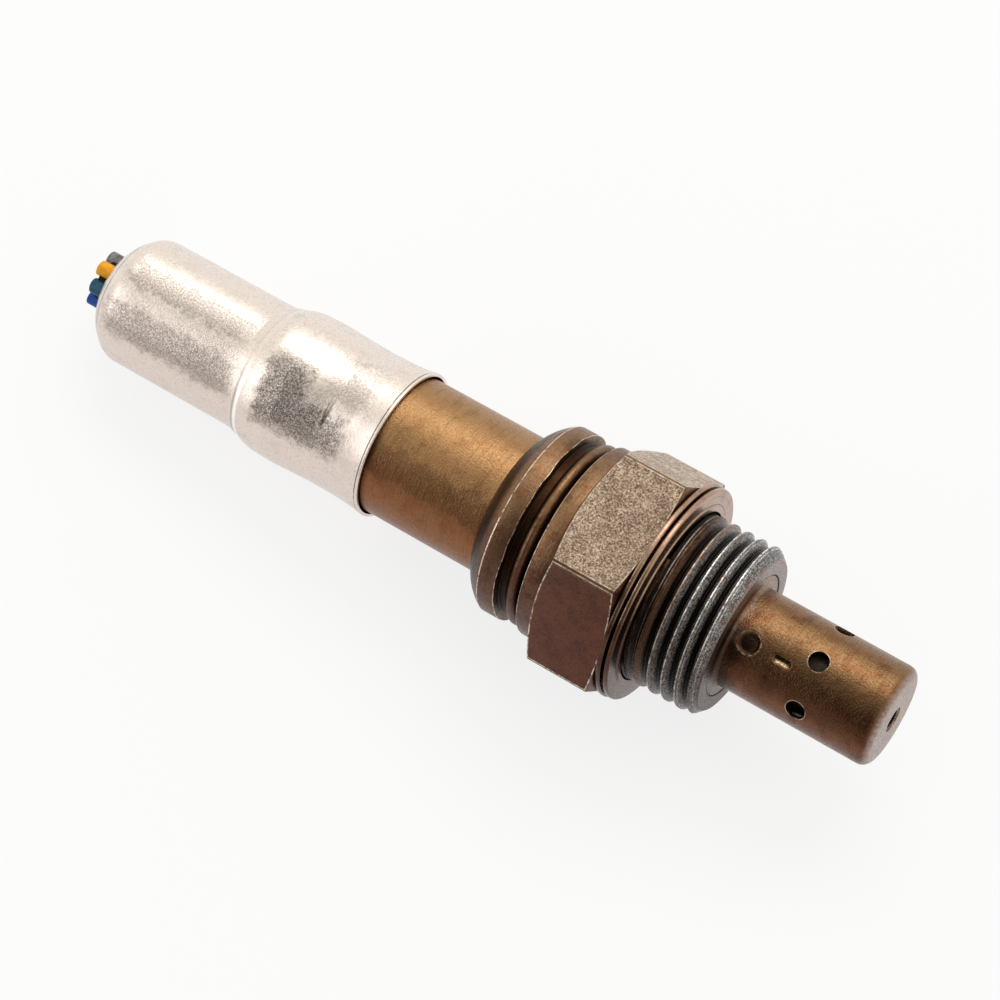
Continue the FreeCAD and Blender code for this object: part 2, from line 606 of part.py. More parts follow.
def make_element():
    plate = block(ELEMENT_REAR, ELEMENT_TIP, ELEMENT_WIDTH, ELEMENT_THICKNESS)
    long_edges = [edge for edge in plate.Edges if edge.Length > 2 * ELEMENT_WIDTH]
    return plate.makeChamfer(ELEMENT_CHAMFER, long_edges)


# Seals and ceramics inside the shell, stacked on its conical seat
def cone_outline(station_shift, outer_radius):
    """Station on the seat's cone, moved to the rear by the layers below, at a radius."""
    return SEAT_END - station_shift - (outer_radius - FRONT_BORE_RADIUS)


def make_sheet_packing():
    outer = CUP_RADIUS
    washer = Outline(cone_outline(0, SEAT_BORE_RADIUS), SEAT_BORE_RADIUS)
    washer.line(cone_outline(0, outer), outer).line(cone_outline(PACKING_SHEET, outer), outer)
    return washer.line(cone_outline(PACKING_SHEET, SEAT_BORE_RADIUS), SEAT_BORE_RADIUS).turned()


def make_metal_cup():
    below = PACKING_SHEET
    above = PACKING_SHEET + CUP_SHEET * math.sqrt(2)
    inside = CUP_RADIUS - CUP_SHEET
    cup = Outline(cone_outline(below, SEAT_BORE_RADIUS), SEAT_BORE_RADIUS)
    cup.line(cone_outline(below, CUP_RADIUS), CUP_RADIUS).line(CUP_REAR, CUP_RADIUS)
    cup.line(CUP_REAR, inside).line(cone_outline(above, inside), inside)
    return cup.line(cone_outline(above, SEAT_BORE_RADIUS), SEAT_BORE_RADIUS).turned()


def make_front_ceramic():
    above = PACKING_SHEET + CUP_SHEET * math.sqrt(2)
    body = CUP_RADIUS - CUP_SHEET - FIT
    holder = Outline(HOLDER_REAR, 0).line(HOLDER_REAR, body).line(cone_outline(above, body), body)
    holder.line(cone_outline(above, HOLDER_NOSE_RADIUS), HOLDER_NOSE_RADIUS)
    holder.line(HOLDER_NOSE_TIP, HOLDER_NOSE_RADIUS).line(HOLDER_NOSE_TIP, 0)
    return holder.turned().cut(element_slot(HOLDER_REAR, HOLDER_NOSE_TIP))


def make_front_talc():
    disc = rod(CUP_REAR, HOLDER_REAR, CUP_RADIUS - CUP_SHEET - FIT)
    return disc.cut(element_slot(CUP_REAR, HOLDER_REAR))


def make_rear_talc():
    disc = rod(REAR_TALC_REAR, CUP_REAR, CAVITY_RADIUS - FIT)
    return disc.cut(element_slot(REAR_TALC_REAR, CUP_REAR))


def make_rear_ceramic():
    collar = rod(REAR_CERAMIC_SHOULDER, REAR_TALC_REAR, CAVITY_RADIUS - FIT)
    neck = ring_body(REAR_CERAMIC_END, REAR_TALC_REAR, REAR_CERAMIC_NECK_RADIUS)
    return collar.fuse(neck).cut(element_slot(REAR_CERAMIC_END, REAR_TALC_REAR))


def make_packing_ring():
    """Wedge ring between the tube's flange and the crimped lip."""
    bore = TUBE_RADIUS + FIT
    outer = CAVITY_RADIUS - FIT
    bead = TUBE_FLANGE_REAR - TUBE_FLANGE_ROUND
    slack = 2 * FIT
    wedge = Outline(TUBE_FLANGE_REAR, outer).line(TUBE_FLANGE_REAR, bore + TUBE_FLANGE_ROUND)
    wedge.line(bead, bore).line(COLLAR_EDGE - (outer - bore) + slack, bore)
    return wedge.line(COLLAR_EDGE + slack, outer).turned()


# Laying down: a flat of the hexagon and the sleeve's rear shoulder touch the floor
def lying_placement(pieces):
    flat = HEX_ACROSS_FLATS / 2
    flat_rear = HEX_REAR + (flat - BOSS_RADIUS) * math.tan(math.radians(HEX_REAR_CHAMFER))
    lean = math.atan2(flat - SLEEVE_RADIUS, flat_rear - SLEEVE_SHOULDER_STATION)
    whole = Part.makeCompound(list(pieces.values()))
    whole.Placement = FreeCAD.Placement(ORIGIN, FreeCAD.Rotation(ACROSS, -math.degrees(lean)))
    box = whole.optimalBoundingBox(False, False)
    shift = FreeCAD.Vector(-box.Center.x, -box.Center.y, -box.ZMin)
    return FreeCAD.Placement(shift, whole.Placement.Rotation)


def build():
    """Every piece of the sensor by its node name, still along the X axis."""
    pieces = {
        "shell": make_shell(),
        "crush_gasket": make_crush_gasket(),
        "outer_protector": make_outer_protector(),
        "inner_protector": make_inner_protector(),
        "heat_tube": make_heat_tube(),
        "rear_sleeve": make_sleeve(),
        "wire_grommet": make_grommet(),
        "rear_insulator": make_rear_block(),
        "front_insulator": make_front_block(),
        "spring_clamp": make_spring_clamp(),
        "sensor_element": make_element(),
        "sheet_packing": make_sheet_packing(),
        "metal_cup": make_metal_cup(),
        "front_ceramic": make_front_ceramic(),
        "front_talc": make_front_talc(),
        "rear_talc": make_rear_talc(),
        "rear_ceramic": make_rear_ceramic(),
        "packing_ring": make_packing_ring(),
    }
    for colour in WIRE_ANGLES:
        pieces["wire_" + colour] = make_insulation(colour)
        pieces["conductor_" + colour] = make_conductor(colour)
        pieces["contact_" + colour] = make_contact(colour)
    return pieces


os.makedirs("parts", exist_ok=True)
sensor = build()
placement = lying_placement(sensor)
for name, shape in sensor.items():
    shape.Placement = placement
    shape.exportStep("parts/" + name + ".step")
    print(name, len(shape.Solids), round(shape.Volume, 2), shape.isValid())
print("placement", placement)
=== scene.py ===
"""Oxygen sensor on a pale studio floor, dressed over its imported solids.

The sensor's own frame has its X axis along the sensor, with x = 0 at the hexagon's front face and the
gas inlet at +X. Sizes there are in millimetres, and angles about the axis are in degrees, from
straight up towards +Y. A finished mesh is in metres in the row's frame, with its object at the origin.

The forms come first, each a class that makes its own mesh. The finishes follow and read the sizes that
they need from the forms, and the studio comes last.
"""
import json
import logging
import math
from abc import ABC, abstractmethod
from dataclasses import dataclass
from enum import Enum
from functools import reduce
from typing import Iterable, Optional, Sequence

import bmesh
import bpy
from mathutils import Matrix, Vector, noise


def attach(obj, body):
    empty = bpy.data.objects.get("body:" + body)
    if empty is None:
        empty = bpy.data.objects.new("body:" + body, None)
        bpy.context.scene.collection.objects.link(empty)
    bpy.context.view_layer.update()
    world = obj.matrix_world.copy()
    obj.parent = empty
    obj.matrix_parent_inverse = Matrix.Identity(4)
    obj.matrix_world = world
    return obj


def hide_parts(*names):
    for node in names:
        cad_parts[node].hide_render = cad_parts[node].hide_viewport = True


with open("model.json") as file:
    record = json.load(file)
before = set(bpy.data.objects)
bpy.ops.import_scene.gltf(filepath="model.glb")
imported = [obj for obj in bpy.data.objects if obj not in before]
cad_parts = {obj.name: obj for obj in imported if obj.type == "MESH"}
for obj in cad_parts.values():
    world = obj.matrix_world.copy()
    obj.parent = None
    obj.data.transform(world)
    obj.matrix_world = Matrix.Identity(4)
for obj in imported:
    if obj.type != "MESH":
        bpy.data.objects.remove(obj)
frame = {"nodes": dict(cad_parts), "record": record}

LOG = logging.getLogger("oxygen_sensor")
MM = 0.001
TURN = 2 * math.pi
MERGE = 1e-4
NEAR = 0.01
THREAD_MOUNT_STATION = 5.3
SHADED_ANGLE = -109.0

BMesh = bmesh.types.BMesh
Socket = bpy.types.NodeSocket
Colour = tuple[float, float, float, float]


def rgb(red: float, green: float, blue: float) -> Colour:
    """Opaque colour in linear light."""
    return (red, green, blue, 1.0)


def smooth_step(low: float, high: float, value: float) -> float:
    """Ease from 0 at low to 1 at high."""
    share = min(1.0, max(0.0, (value - low) / (high - low)))
    return share * share * (3 - 2 * share)


def angle_apart(first: float, second: float) -> float:
    """Smallest turn in degrees from one angle to another, with its sign."""
    return (first - second + 180.0) % 360.0 - 180.0


def outwards(angle: float) -> Vector:
    """Unit vector in the sensor's own frame that leaves the axis at an angle about it."""
    turn = math.radians(angle)
    return Vector((0, math.sin(turn), math.cos(turn)))


class SensorFrame:
    """Where the sensor's own frame lies in the row's frame, worked out from the thread's mount."""

    def __init__(self, record: dict) -> None:
        """Read the thread's mount.

        Args:
            record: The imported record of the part.
        """
        mount = next(m for m in record["mounts"] if m["name"] == "thread")
        self.forward = Vector(mount["axis"]).normalized()
        self.seat = Vector(mount["pos_m"]) - self.forward * THREAD_MOUNT_STATION * MM
        across = Vector((0, 1, 0))
        self.turn = Matrix((self.forward, across, self.forward.cross(across))).transposed()
        self.to_row = Matrix.Translation(self.seat) @ self.turn.to_4x4() @ Matrix.Scale(MM, 4)

    def direction(self, angle: float, lean: float = 0.0) -> Vector:
        """Unit vector in the row's frame that leaves the axis at an angle about it.

        Args:
            angle: Angle about the axis.
            lean: How far the vector leans back towards the sensor's rear.

        Returns:
            The unit vector.
        """
        back = math.radians(lean)
        return self.turn @ outwards(angle) * math.cos(back) - self.forward * math.sin(back)


SENSOR = SensorFrame(frame["record"])


class Outline:
    """Section of a turned piece beside the axis, drawn as stations and radii."""

    def __init__(self) -> None:
        """Start an outline with no corners."""
        self.corners: list[tuple[Vector, float]] = []

    def to(self, x: float, radius: float, rounding: float = 0.0) -> "Outline":
        """Add a corner.

        Args:
            x: Station of the corner.
            radius: Distance from the axis.
            rounding: Radius that the corner is rounded with.

        Returns:
            The same outline.
        """
        self.corners.append((Vector((x, radius)), rounding))
        return self

    def bow(self, x: float, radius: float, bow: float, steps: int = 8) -> "Outline":
        """Add an arc to a new corner.

        Args:
            x: Station of the arc's end.
            radius: Distance of the arc's end from the axis.
            bow: How far the arc's middle stands off its chord, away from the axis.
            steps: How many stretches the arc is drawn with.

        Returns:
            The same outline.
        """
        start = self.corners[-1][0]
        chord = Vector((x, radius)) - start
        side = Vector((-chord.y, chord.x)).normalized() * math.copysign(1.0, chord.x)
        for step in range(1, steps + 1):
            share = step / steps
            point = start + chord * share + side * bow * 4 * share * (1 - share)
            self.corners.append((point, 0.0))
        return self

    def run(self, x: float, radius: float, pitch: float) -> "Outline":
        """Add a straight run with corners no further apart than a pitch.

        Args:
            x: Station of the run's end.
            radius: Distance of the run's end from the axis.
            pitch: Longest stretch between two corners.

        Returns:
            The same outline.
        """
        start = self.corners[-1][0]
        end = Vector((x, radius))
        steps = max(1, math.ceil((end - start).length / pitch))
        for step in range(1, steps + 1):
            self.corners.append((start.lerp(end, step / steps), 0.0))
        return self

    def points(self, closed: bool, arc_steps: int = 5) -> list[Vector]:
        """Work out the outline's points with its corners rounded.

        Args:
            closed: Whether the last corner joins the first.
            arc_steps: How many stretches a rounded corner is drawn with.

        Returns:
            Points of station and radius, in order.
        """
        found: list[Vector] = []
        count = len(self.corners)
        for i, (corner, rounding) in enumerate(self.corners):
            if rounding <= 0 or (not closed and i in (0, count - 1)):
                found.append(corner)
                continue
            back = self.corners[i - 1][0] - corner
            ahead = self.corners[(i + 1) % count][0] - corner
            half = back.angle(ahead) / 2
            reach = min(rounding / math.tan(half), 0.49 * back.length, 0.49 * ahead.length)
            middle = (back.normalized() + ahead.normalized()).normalized()
            centre = corner + middle * reach / math.cos(half)
            first = corner + back.normalized() * reach - centre
            last = corner + ahead.normalized() * reach - centre
            for step in range(arc_steps + 1):
                found.append(centre + first.slerp(last, step / arc_steps) * first.length)
        return found


def spun(points: Sequence[Vector], steps: int, closed: bool = True) -> BMesh:
    """Turn an outline round the sensor's axis.

    Args:
        points: Stations and radii of the outline.
        steps: How many stretches make the full turn.
        closed: Whether the last point joins the first.

    Returns:
        The turned surface, with its faces outwards.
    """
    mesh = bmesh.new()
    verts = [mesh.verts.new((p.x, 0, p.y)) for p in points]
    pairs = list(zip(verts, verts[1:]))
    if closed:
        pairs.append((verts[-1], verts[0]))
    edges = [mesh.edges.new(pair) for pair in pairs]
    bmesh.ops.spin(mesh, geom=verts + edges, cent=(0, 0, 0), axis=(1, 0, 0), angle=TURN,
                   steps=steps, use_merge=True, use_duplicate=False)
    bmesh.ops.remove_doubles(mesh, verts=mesh.verts, dist=MERGE)
    bmesh.ops.recalc_face_normals(mesh, faces=mesh.faces)
    return mesh


def polar(vert: bmesh.types.BMVert) -> tuple[float, float]:
    """Distance of a vertex from the axis, and its angle about it in degrees."""
    return math.hypot(vert.co.y, vert.co.z), math.degrees(math.atan2(vert.co.y, vert.co.z))


def set_radius(vert: bmesh.types.BMVert, radius: float) -> None:
    """Move a vertex straight away from the axis or towards it.

    Args:
        vert: The vertex.
        radius: Its new distance from the axis.
    """
    now = math.hypot(vert.co.y, vert.co.z)
    if now > 0:
        vert.co.y *= radius / now
        vert.co.z *= radius / now


def clip(mesh: BMesh, point: Vector, normal: Vector) -> list[bmesh.types.BMEdge]:
    """Cut away what lies beyond a plane.

    Args:
        mesh: The mesh to cut.
        point: A point on the plane.
        normal: The plane's direction, towards the side that goes.

    Returns:
        The edges along the cut.
    """
    geometry = mesh.verts[:] + mesh.edges[:] + mesh.faces[:]
    cut = bmesh.ops.bisect_plane(mesh, geom=geometry, plane_co=point, plane_no=normal, clear_outer=True)
    return [part for part in cut["geom_cut"] if isinstance(part, bmesh.types.BMEdge)]


def ease_edges(mesh: BMesh, edges: Iterable[bmesh.types.BMEdge], width: float,
               clamp: bool = False) -> list[bmesh.types.BMFace]:
    """Break edges with a narrow round.

    Args:
        mesh: The mesh that the edges belong to.
        edges: The edges to break.
        width: Distance of the round's sides from the edge.
        clamp: Whether neighbouring rounds are kept from running into each other.

    Returns:
        The faces of the rounds.
    """
    made = bmesh.ops.bevel(mesh, geom=list(edges), offset=width, offset_type="OFFSET", segments=2,
                           profile=0.5, affect="EDGES", material=-1, clamp_overlap=clamp)
    return made["faces"]


def pour(mesh: BMesh, name: str) -> bpy.types.Mesh:
    """Turn a bmesh into a mesh of its own.

    Args:
        mesh: The bmesh, which is used up.
        name: Name of the mesh.

    Returns:
        The new mesh.
    """
    data = bpy.data.meshes.new(name)
    mesh.to_mesh(data)
    mesh.free()
    return data


def add_object(name: str, data: bpy.types.ID) -> bpy.types.Object:
    """Make an object and link it to the scene.

    Args:
        name: Name of the object.
        data: Its mesh, light or camera.

    Returns:
        The new object.
    """
    made = bpy.data.objects.new(name, data)
    bpy.context.scene.collection.objects.link(made)
    return made


def mark_sharp(mesh: BMesh, limit: float) -> None:
    """Shade a mesh smooth, apart from its sharp edges.

    Args:
        mesh: The mesh to mark.
        limit: Angle in degrees from which an edge is sharp.
    """
    sharp = math.radians(limit)
    for face in mesh.faces:
        face.smooth = True
    for edge in mesh.edges:
        edge.smooth = len(edge.link_faces) != 2 or edge.calc_face_angle(0.0) < sharp


def place(mesh: BMesh, name: str, finishes: Sequence[bpy.types.Material],
          replaces: Sequence[str], sharp: float = 32.0) -> bpy.types.Object:
    """Turn a finished mesh into a piece of the sensor in the row's frame.

    Args:
        mesh: The mesh in the sensor's own frame, in millimetres. It is used up.
        name: Name of the piece.
        finishes: Materials, by the material index of the faces.
        replaces: CAD nodes that the piece stands for.
        sharp: Angle in degrees from which an edge is shaded sharp.

    Returns:
        The new object, riding on the root body.
    """
    mark_sharp(mesh, sharp)
    bmesh.ops.transform(mesh, matrix=SENSOR.to_row, verts=mesh.verts)
    data = pour(mesh, name)
    for finish in finishes:
        data.materials.append(finish)
    piece = add_object(name, data)
    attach(piece, "root")
    if replaces:
        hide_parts(*replaces)
    LOG.info("piece %s: %d faces", name, len(data.polygons))
    return piece


@dataclass(frozen=True)
class CrimpBand:
    """One ring of facets that the jaws pressed into the sleeve, deepest at their rear."""

    rear: float
    front: float
    rear_flat: float
    front_flat: float
    ease: float
    jaw_radius: float = 9.6

    def pressed(self, x: float, beside: float, radius: float) -> float:
        """Radius that the jaw leaves.

        Args:
            x: Station.
            beside: Angle in radians from the middle of the jaw.
            radius: Radius before pressing.

        Returns:
            The smaller of the two radii inside the band, eased in at its rear.
        """
        if not self.rear <= x <= self.front:
            return radius
        share = (x - self.rear) / (self.front - self.rear)
        flat = self.rear_flat + (self.front_flat - self.rear_flat) * share
        limit = flat + beside * beside / 2 * flat * (1 - flat / self.jaw_radius)
        depth = max(0.0, radius - limit) * smooth_step(0.0, self.ease, x - self.rear)
        return radius - depth


@dataclass(frozen=True)
class RearSleeve:
    """Silver sleeve: open lip, crimped waist, necked step and domed rear end.

    The dome's outside is two arcs, each given by the station and radius of its end and by its bow, and
    its inside is straight between two corners.
    """

    wall: float = 0.35
    lip_station: float = -30.1
    lip_radius: float = 8.0
    flare_rear: float = -33.5
    flare_bow: float = -0.05
    waist_station: float = -36.4
    waist_radius: float = 7.62
    belly_station: float = -41.2
    belly_radius: float = 7.84
    neck_front: float = -43.4
    neck_rear: float = -47.4
    neck_bow: float = 0.09
    draft: float = 0.05
    radius: float = 6.87
    shoulder: float = -61.9
    dome: tuple = ((-63.55, 6.14, 0.17), (-65.05, 4.45, 0.12))
    dome_inside: tuple = (-63.3, 5.9)
    rim: float = -65.4
    rim_radius: float = 3.5
    rim_inside: float = 4.2
    opening: float = 3.2
    jaws: int = 6
    jaw_angle: float = -13.0
    jaw_gap: float = 1.1
    bands: tuple = (CrimpBand(-40.4, -36.2, 7.6, 7.5, 1.6), CrimpBand(-36.1, -33.0, 7.44, 7.62, 0.35))
    fine_pitch: float = 0.12
    steps: int = 300

    def outline(self) -> Outline:
        """Draw the section of the sleeve's wall, outside first and then back along the inside.

        Returns:
            The outline.
        """
        section = Outline()
        wall = self.wall
        draft = self.draft
        middle = (self.neck_front + self.neck_rear) / 2
        half = (self.belly_radius + self.radius) / 2
        section.to(self.lip_station, self.lip_radius, 0.1)
        section.bow(self.flare_rear, self.waist_radius + draft, self.flare_bow)
        section.run(self.waist_station, self.waist_radius, self.fine_pitch)
        section.run(self.belly_station, self.belly_radius, self.fine_pitch)
        section.run(self.neck_front, self.belly_radius - draft, 0.4).bow(middle, half, self.neck_bow)
        section.to(self.neck_rear + 0.5, self.radius + 0.07, 0.3).to(self.neck_rear - 0.3, self.radius)
        section.run(self.shoulder, self.radius, 1.5)
        for station, radius, bow in self.dome:
            section.bow(station, radius, bow)
        section.to(self.rim, self.rim_radius, 0.15).to(self.rim, self.opening)
        section.to(self.rim + wall, self.opening).to(self.rim + wall, self.rim_inside)
        section.to(*self.dome_inside).to(self.shoulder, self.radius - wall)
        section.to(self.neck_rear, self.radius - wall).to(middle, half - wall)
        section.to(self.neck_front, self.belly_radius - wall - draft)
        section.run(self.belly_station, self.belly_radius - wall, 0.4)
        section.run(self.waist_station, self.waist_radius - wall, 0.2)
        section.run(self.flare_rear, self.waist_radius - wall, 0.2)
        return section.to(self.lip_station, self.lip_radius - wall, 0.05)

    def press(self, mesh: BMesh) -> None:
        """Press the jaws' flats into the wall.

        Args:
            mesh: The turned sleeve.
        """
        sector = 360.0 / self.jaws
        for vert in mesh.verts:
            radius, angle = polar(vert)
            inset = self.wall if radius < self.waist_radius - 0.6 * self.wall else 0.0
            beside = (angle - self.jaw_angle + sector / 2) % sector - sector / 2
            if abs(beside) > sector / 2 - self.jaw_gap:
                continue
            for band in self.bands:
                set_radius(vert, band.pressed(vert.co.x, math.radians(beside), radius + inset) - inset)

    def build(self, palette: "Palette") -> None:
        """Make the sleeve and put it in place.

        Args:
            palette: The sensor's finishes.
        """
        mesh = spun(self.outline().points(True), self.steps)
        self.press(mesh)
        place(mesh, "silver_sleeve", [palette.silver], ["rear_sleeve"], 50.0)


@dataclass(frozen=True)
class HeatTube:
    """Bronze coloured tube between the sleeve and the crimped collar."""

    radius: float = 7.4
    wall: float = 0.4
    front: float = -12.39
    flange_radius: float = 8.65
    flange_round: float = 0.5
    taper_start: float = -31.6
    taper: float = 1.2
    crimp_radius: float = 7.2
    end: float = -42.9
    end_bore: float = 5.65
    steps: int = 160

    def build(self, palette: "Palette") -> None:
        """Make the tube and put it in place.

        Args:
            palette: The sensor's finishes.
        """
        section = Outline()
        inner = self.radius - self.wall
        flange_rear = self.front - self.wall
        taper_end = self.taper_start - self.taper
        section.to(self.front, self.flange_radius).to(flange_rear, self.flange_radius)
        section.to(flange_rear, self.radius, self.flange_round)
        section.run(self.taper_start, self.radius, 1.0)
        section.to(taper_end, self.crimp_radius).to(self.end, self.crimp_radius)
        section.to(self.end, self.end_bore).to(self.end + self.wall, self.end_bore)
        section.to(self.end + self.wall, self.crimp_radius - self.wall)
        section.to(taper_end, self.crimp_radius - self.wall)
        section.to(self.taper_start, inner).to(self.front, inner, self.flange_round + self.wall)
        mesh = spun(section.points(True), self.steps)
        place(mesh, "bronze_tube", [palette.tube], ["heat_tube"])


@dataclass(frozen=True)
class Thread:
    """Right-hand thread with an undercut behind it and a chamfer at its end."""

    pitch: float = 1.5
    major: float = 9.0
    minor: float = 8.3
    start: float = 1.2
    end: float = 9.4
    end_radius: float = 8.1
    start_slope: float = 4.0
    fill_radius: float = 8.92
    fill_front: float = 8.55
    fill_inset: float = 0.06
    runout_start: float = 0.7
    runout_end: float = 1.5
    runout_depth: float = 0.4
    crest_width: float = 0.2
    root_width: float = 0.16
    flank_pitch: float = 0.25
    crest_station: float = 5.5
    crest_angle: float = -6.0
    spare_turns: float = 3.5
    steps: int = 180

    @property
    def first_crest(self) -> float:
        """Station where a crest passes straight above the axis."""
        return self.crest_station + self.pitch * self.crest_angle / 360.0

    def helix(self) -> BMesh:
        """Sweep one pitch of the thread's section along its helix and trim it to the thread's length.

        Returns:
            The ridges, open at both ends.
        """
        origin = self.first_crest - self.spare_turns * self.pitch
        root = self.root_width / 2
        crest = self.crest_width / 2
        middle = self.pitch / 2
        section = Outline().to(0, self.minor).to(root, self.minor)
        section.run(middle - crest, self.major, self.flank_pitch).to(middle + crest, self.major)
        section.run(self.pitch - root, self.minor, self.flank_pitch).to(self.pitch, self.minor)
        turns = math.ceil((self.end - origin) / self.pitch) + 1
        mesh = bmesh.new()
        verts = [mesh.verts.new((origin + p.x, 0, p.y)) for p in section.points(False)]
        edges = [mesh.edges.new(pair) for pair in zip(verts, verts[1:])]
        bmesh.ops.spin(mesh, geom=verts + edges, cent=(0, 0, 0), axis=(1, 0, 0), angle=TURN * turns,
                       steps=self.steps * turns, dvec=(self.pitch / self.steps, 0, 0),
                       use_merge=False, use_duplicate=False)
        bmesh.ops.remove_doubles(mesh, verts=mesh.verts, dist=MERGE)
        for station, side in ((self.start, -1), (self.end, 1)):
            clip(mesh, Vector((station, 0, 0)), Vector((side, 0, 0)))
        return mesh

    def trim(self, mesh: BMesh) -> None:
        """Bring the crests down to the run-out and the chamfer, and fill the grooves beside them.

        Args:
            mesh: The thread's ridges.
        """
        runout_start = self.start + self.runout_start
        runout_end = self.start + self.runout_end
        for vert in mesh.verts:
            radius, _ = polar(vert)
            x = vert.co.x
            limit = self.end_radius + min(self.start_slope * (x - self.start), self.end - x)
            runout = self.fill_radius - self.runout_depth * smooth_step(runout_start, runout_end, x)
            fill = runout if x < runout_end else self.minor
            if x > self.fill_front:
                fill = limit - self.fill_inset
            set_radius(vert, min(limit, max(radius, fill)))


class ShellZone(Enum):
    """Material index of each zone of the shell."""

    TURNED = 0
    FLATS = 1
    THREAD = 2
    EDGE = 3
    RIM = 4

    def mark(self, faces: Iterable[bmesh.types.BMFace]) -> None:
        """Give faces to the zone.

        Args:
            faces: Faces of the shell.
        """
        for face in faces:
            face.material_index = self.value


@dataclass(frozen=True)
class Shell:
    """One-piece shell: thread, hexagon, boss, buckled ring and crimped collar."""

    thread: Thread = Thread()
    sides: int = 6
    across_flats: float = 22.0
    face_inset: float = 0.01
    corner_radius: float = 12.62
    hex_rear: float = -8.15
    rear_chamfer: float = 25.0
    front_chamfer: float = 15.0
    boss_radius: float = 10.3
    boss_rear: float = -9.8
    neck_radius: float = 9.25
    bulge_front: float = -10.2
    bulge_rear: float = -11.7
    bulge_rise: float = 0.65
    collar_front: float = -12.5
    collar_radius: float = 10.2
    collar_edge: float = -14.4
    chip_depth: float = 0.12
    chip_reach: float = 0.15
    lip_end: float = -16.8
    lip_bow: float = 0.29
    lip_bore: float = 7.45
    cavity: float = 8.7
    cavity_front: float = -4.8
    front_bore: float = 5.7
    front_bore_rear: float = -1.8
    recess_radius: float = 6.55
    recess_floor: float = 8.6
    edge_wear: float = 0.18
    rim_wear: float = 0.07
    steps: int = 192

    @property
    def face_radius(self) -> float:
        """Radius of the hexagon's round front face, just inside its flats."""
        return self.across_flats / 2 - self.face_inset

    def turned(self) -> BMesh:
        """Turn the shell behind its thread, with a round blank where the hexagon will be.

        Returns:
            The turned surface, open where the thread goes.
        """
        rear_rise = (self.corner_radius - self.boss_radius) * math.tan(math.radians(self.rear_chamfer))
        past_flat = self.corner_radius - self.across_flats / 2
        front_rise = past_flat * math.tan(math.radians(self.front_chamfer))
        thread = self.thread
        section = Outline().to(thread.start, thread.end_radius).to(0, thread.end_radius, 0.25)
        section.to(0, self.face_radius).to(-front_rise, self.corner_radius)
        section.to(self.hex_rear + rear_rise, self.corner_radius).to(self.hex_rear, self.boss_radius)
        section.to(self.boss_rear, self.boss_radius).to(self.boss_rear, self.neck_radius, 0.1)
        section.to(self.bulge_front, self.neck_radius)
        section.bow(self.bulge_rear, self.neck_radius, self.bulge_rise, 12)
        section.to(self.collar_front, self.neck_radius, 0.1)
        section.to(self.collar_front, self.collar_radius).to(self.collar_edge, self.collar_radius)
        section.bow(self.lip_end, self.lip_bore + 0.1, self.lip_bow, 12)
        section.to(self.lip_end, self.lip_bore)
        section.to(self.collar_edge + self.lip_bore - self.cavity, self.lip_bore)
        section.to(self.collar_edge, self.cavity).to(self.cavity_front, self.cavity)
        section.to(self.front_bore_rear, self.front_bore).to(self.recess_floor, self.front_bore)
        section.to(self.recess_floor, self.recess_radius).to(thread.end, self.recess_radius, 0.08)
        section.to(thread.end, thread.end_radius)
        return spun(section.points(False), self.steps, closed=False)

    def cut_flats(self, mesh: BMesh) -> None:
        """Mill the flats and break their edges.

        Args:
            mesh: The turned shell.
        """
        worn: list[bmesh.types.BMEdge] = []
        for side in range(self.sides):
            normal = outwards(360.0 / self.sides * side)
            rim = clip(mesh, normal * self.across_flats / 2, normal)
            flats = bmesh.ops.contextual_create(mesh, geom=rim)["faces"]
            ShellZone.FLATS.mark(flats)
            for flat in flats:
                worn.extend(flat.edges)
        bmesh.ops.recalc_face_normals(mesh, faces=mesh.faces)
        edges = {edge for edge in worn if edge.is_valid}
        ShellZone.EDGE.mark(ease_edges(mesh, edges, self.edge_wear, clamp=True))

    def rub_rims(self, mesh: BMesh) -> None:
        """Break the collar's and the boss's rims, where the tint is rubbed off.

        Args:
            mesh: The turned shell.
        """
        rims = ((self.collar_edge, self.collar_radius), (self.collar_front, self.collar_radius),
                (self.boss_rear, self.boss_radius))
        edges = [e for e in mesh.edges
                 if any(all(abs(v.co.x - x) < NEAR and abs(polar(v)[0] - radius) < NEAR for v in e.verts)
                        for x, radius in rims)]
        ShellZone.RIM.mark(ease_edges(mesh, edges, self.rim_wear))

    def chip(self, mesh: BMesh) -> None:
        """Leave the collar's front edge slightly uneven, as crimping does.

        Args:
            mesh: The turned shell.
        """
        for vert in mesh.verts:
            radius, angle = polar(vert)
            if abs(vert.co.x - self.collar_front) < self.chip_reach and radius > self.collar_radius - 0.2:
                turn = math.radians(angle)
                wave = noise.noise(Vector((math.cos(turn) * 6, math.sin(turn) * 6, 0.5)))
                vert.co.x += self.chip_depth * wave

    def join_thread(self, mesh: BMesh) -> None:
        """Add the thread's ridges and bridge them to the shell at both ends.

        Args:
            mesh: The finished shell behind its thread.
        """
        ridges = self.thread.helix()
        self.thread.trim(ridges)
        ShellZone.THREAD.mark(ridges.faces)
        carrier = pour(ridges, "thread_carrier")
        mesh.from_mesh(carrier)
        bpy.data.meshes.remove(carrier)
        for station in (self.thread.start, self.thread.end):
            rim = [e for e in mesh.edges if e.is_boundary
                   and all(abs(v.co.x - station) < NEAR for v in e.verts)]
            ShellZone.THREAD.mark(bmesh.ops.bridge_loops(mesh, edges=rim)["faces"])
        front = self.thread.end - 0.05
        ShellZone.THREAD.mark(f for f in mesh.faces if f.calc_center_median().x > front)
        bmesh.ops.recalc_face_normals(mesh, faces=mesh.faces)

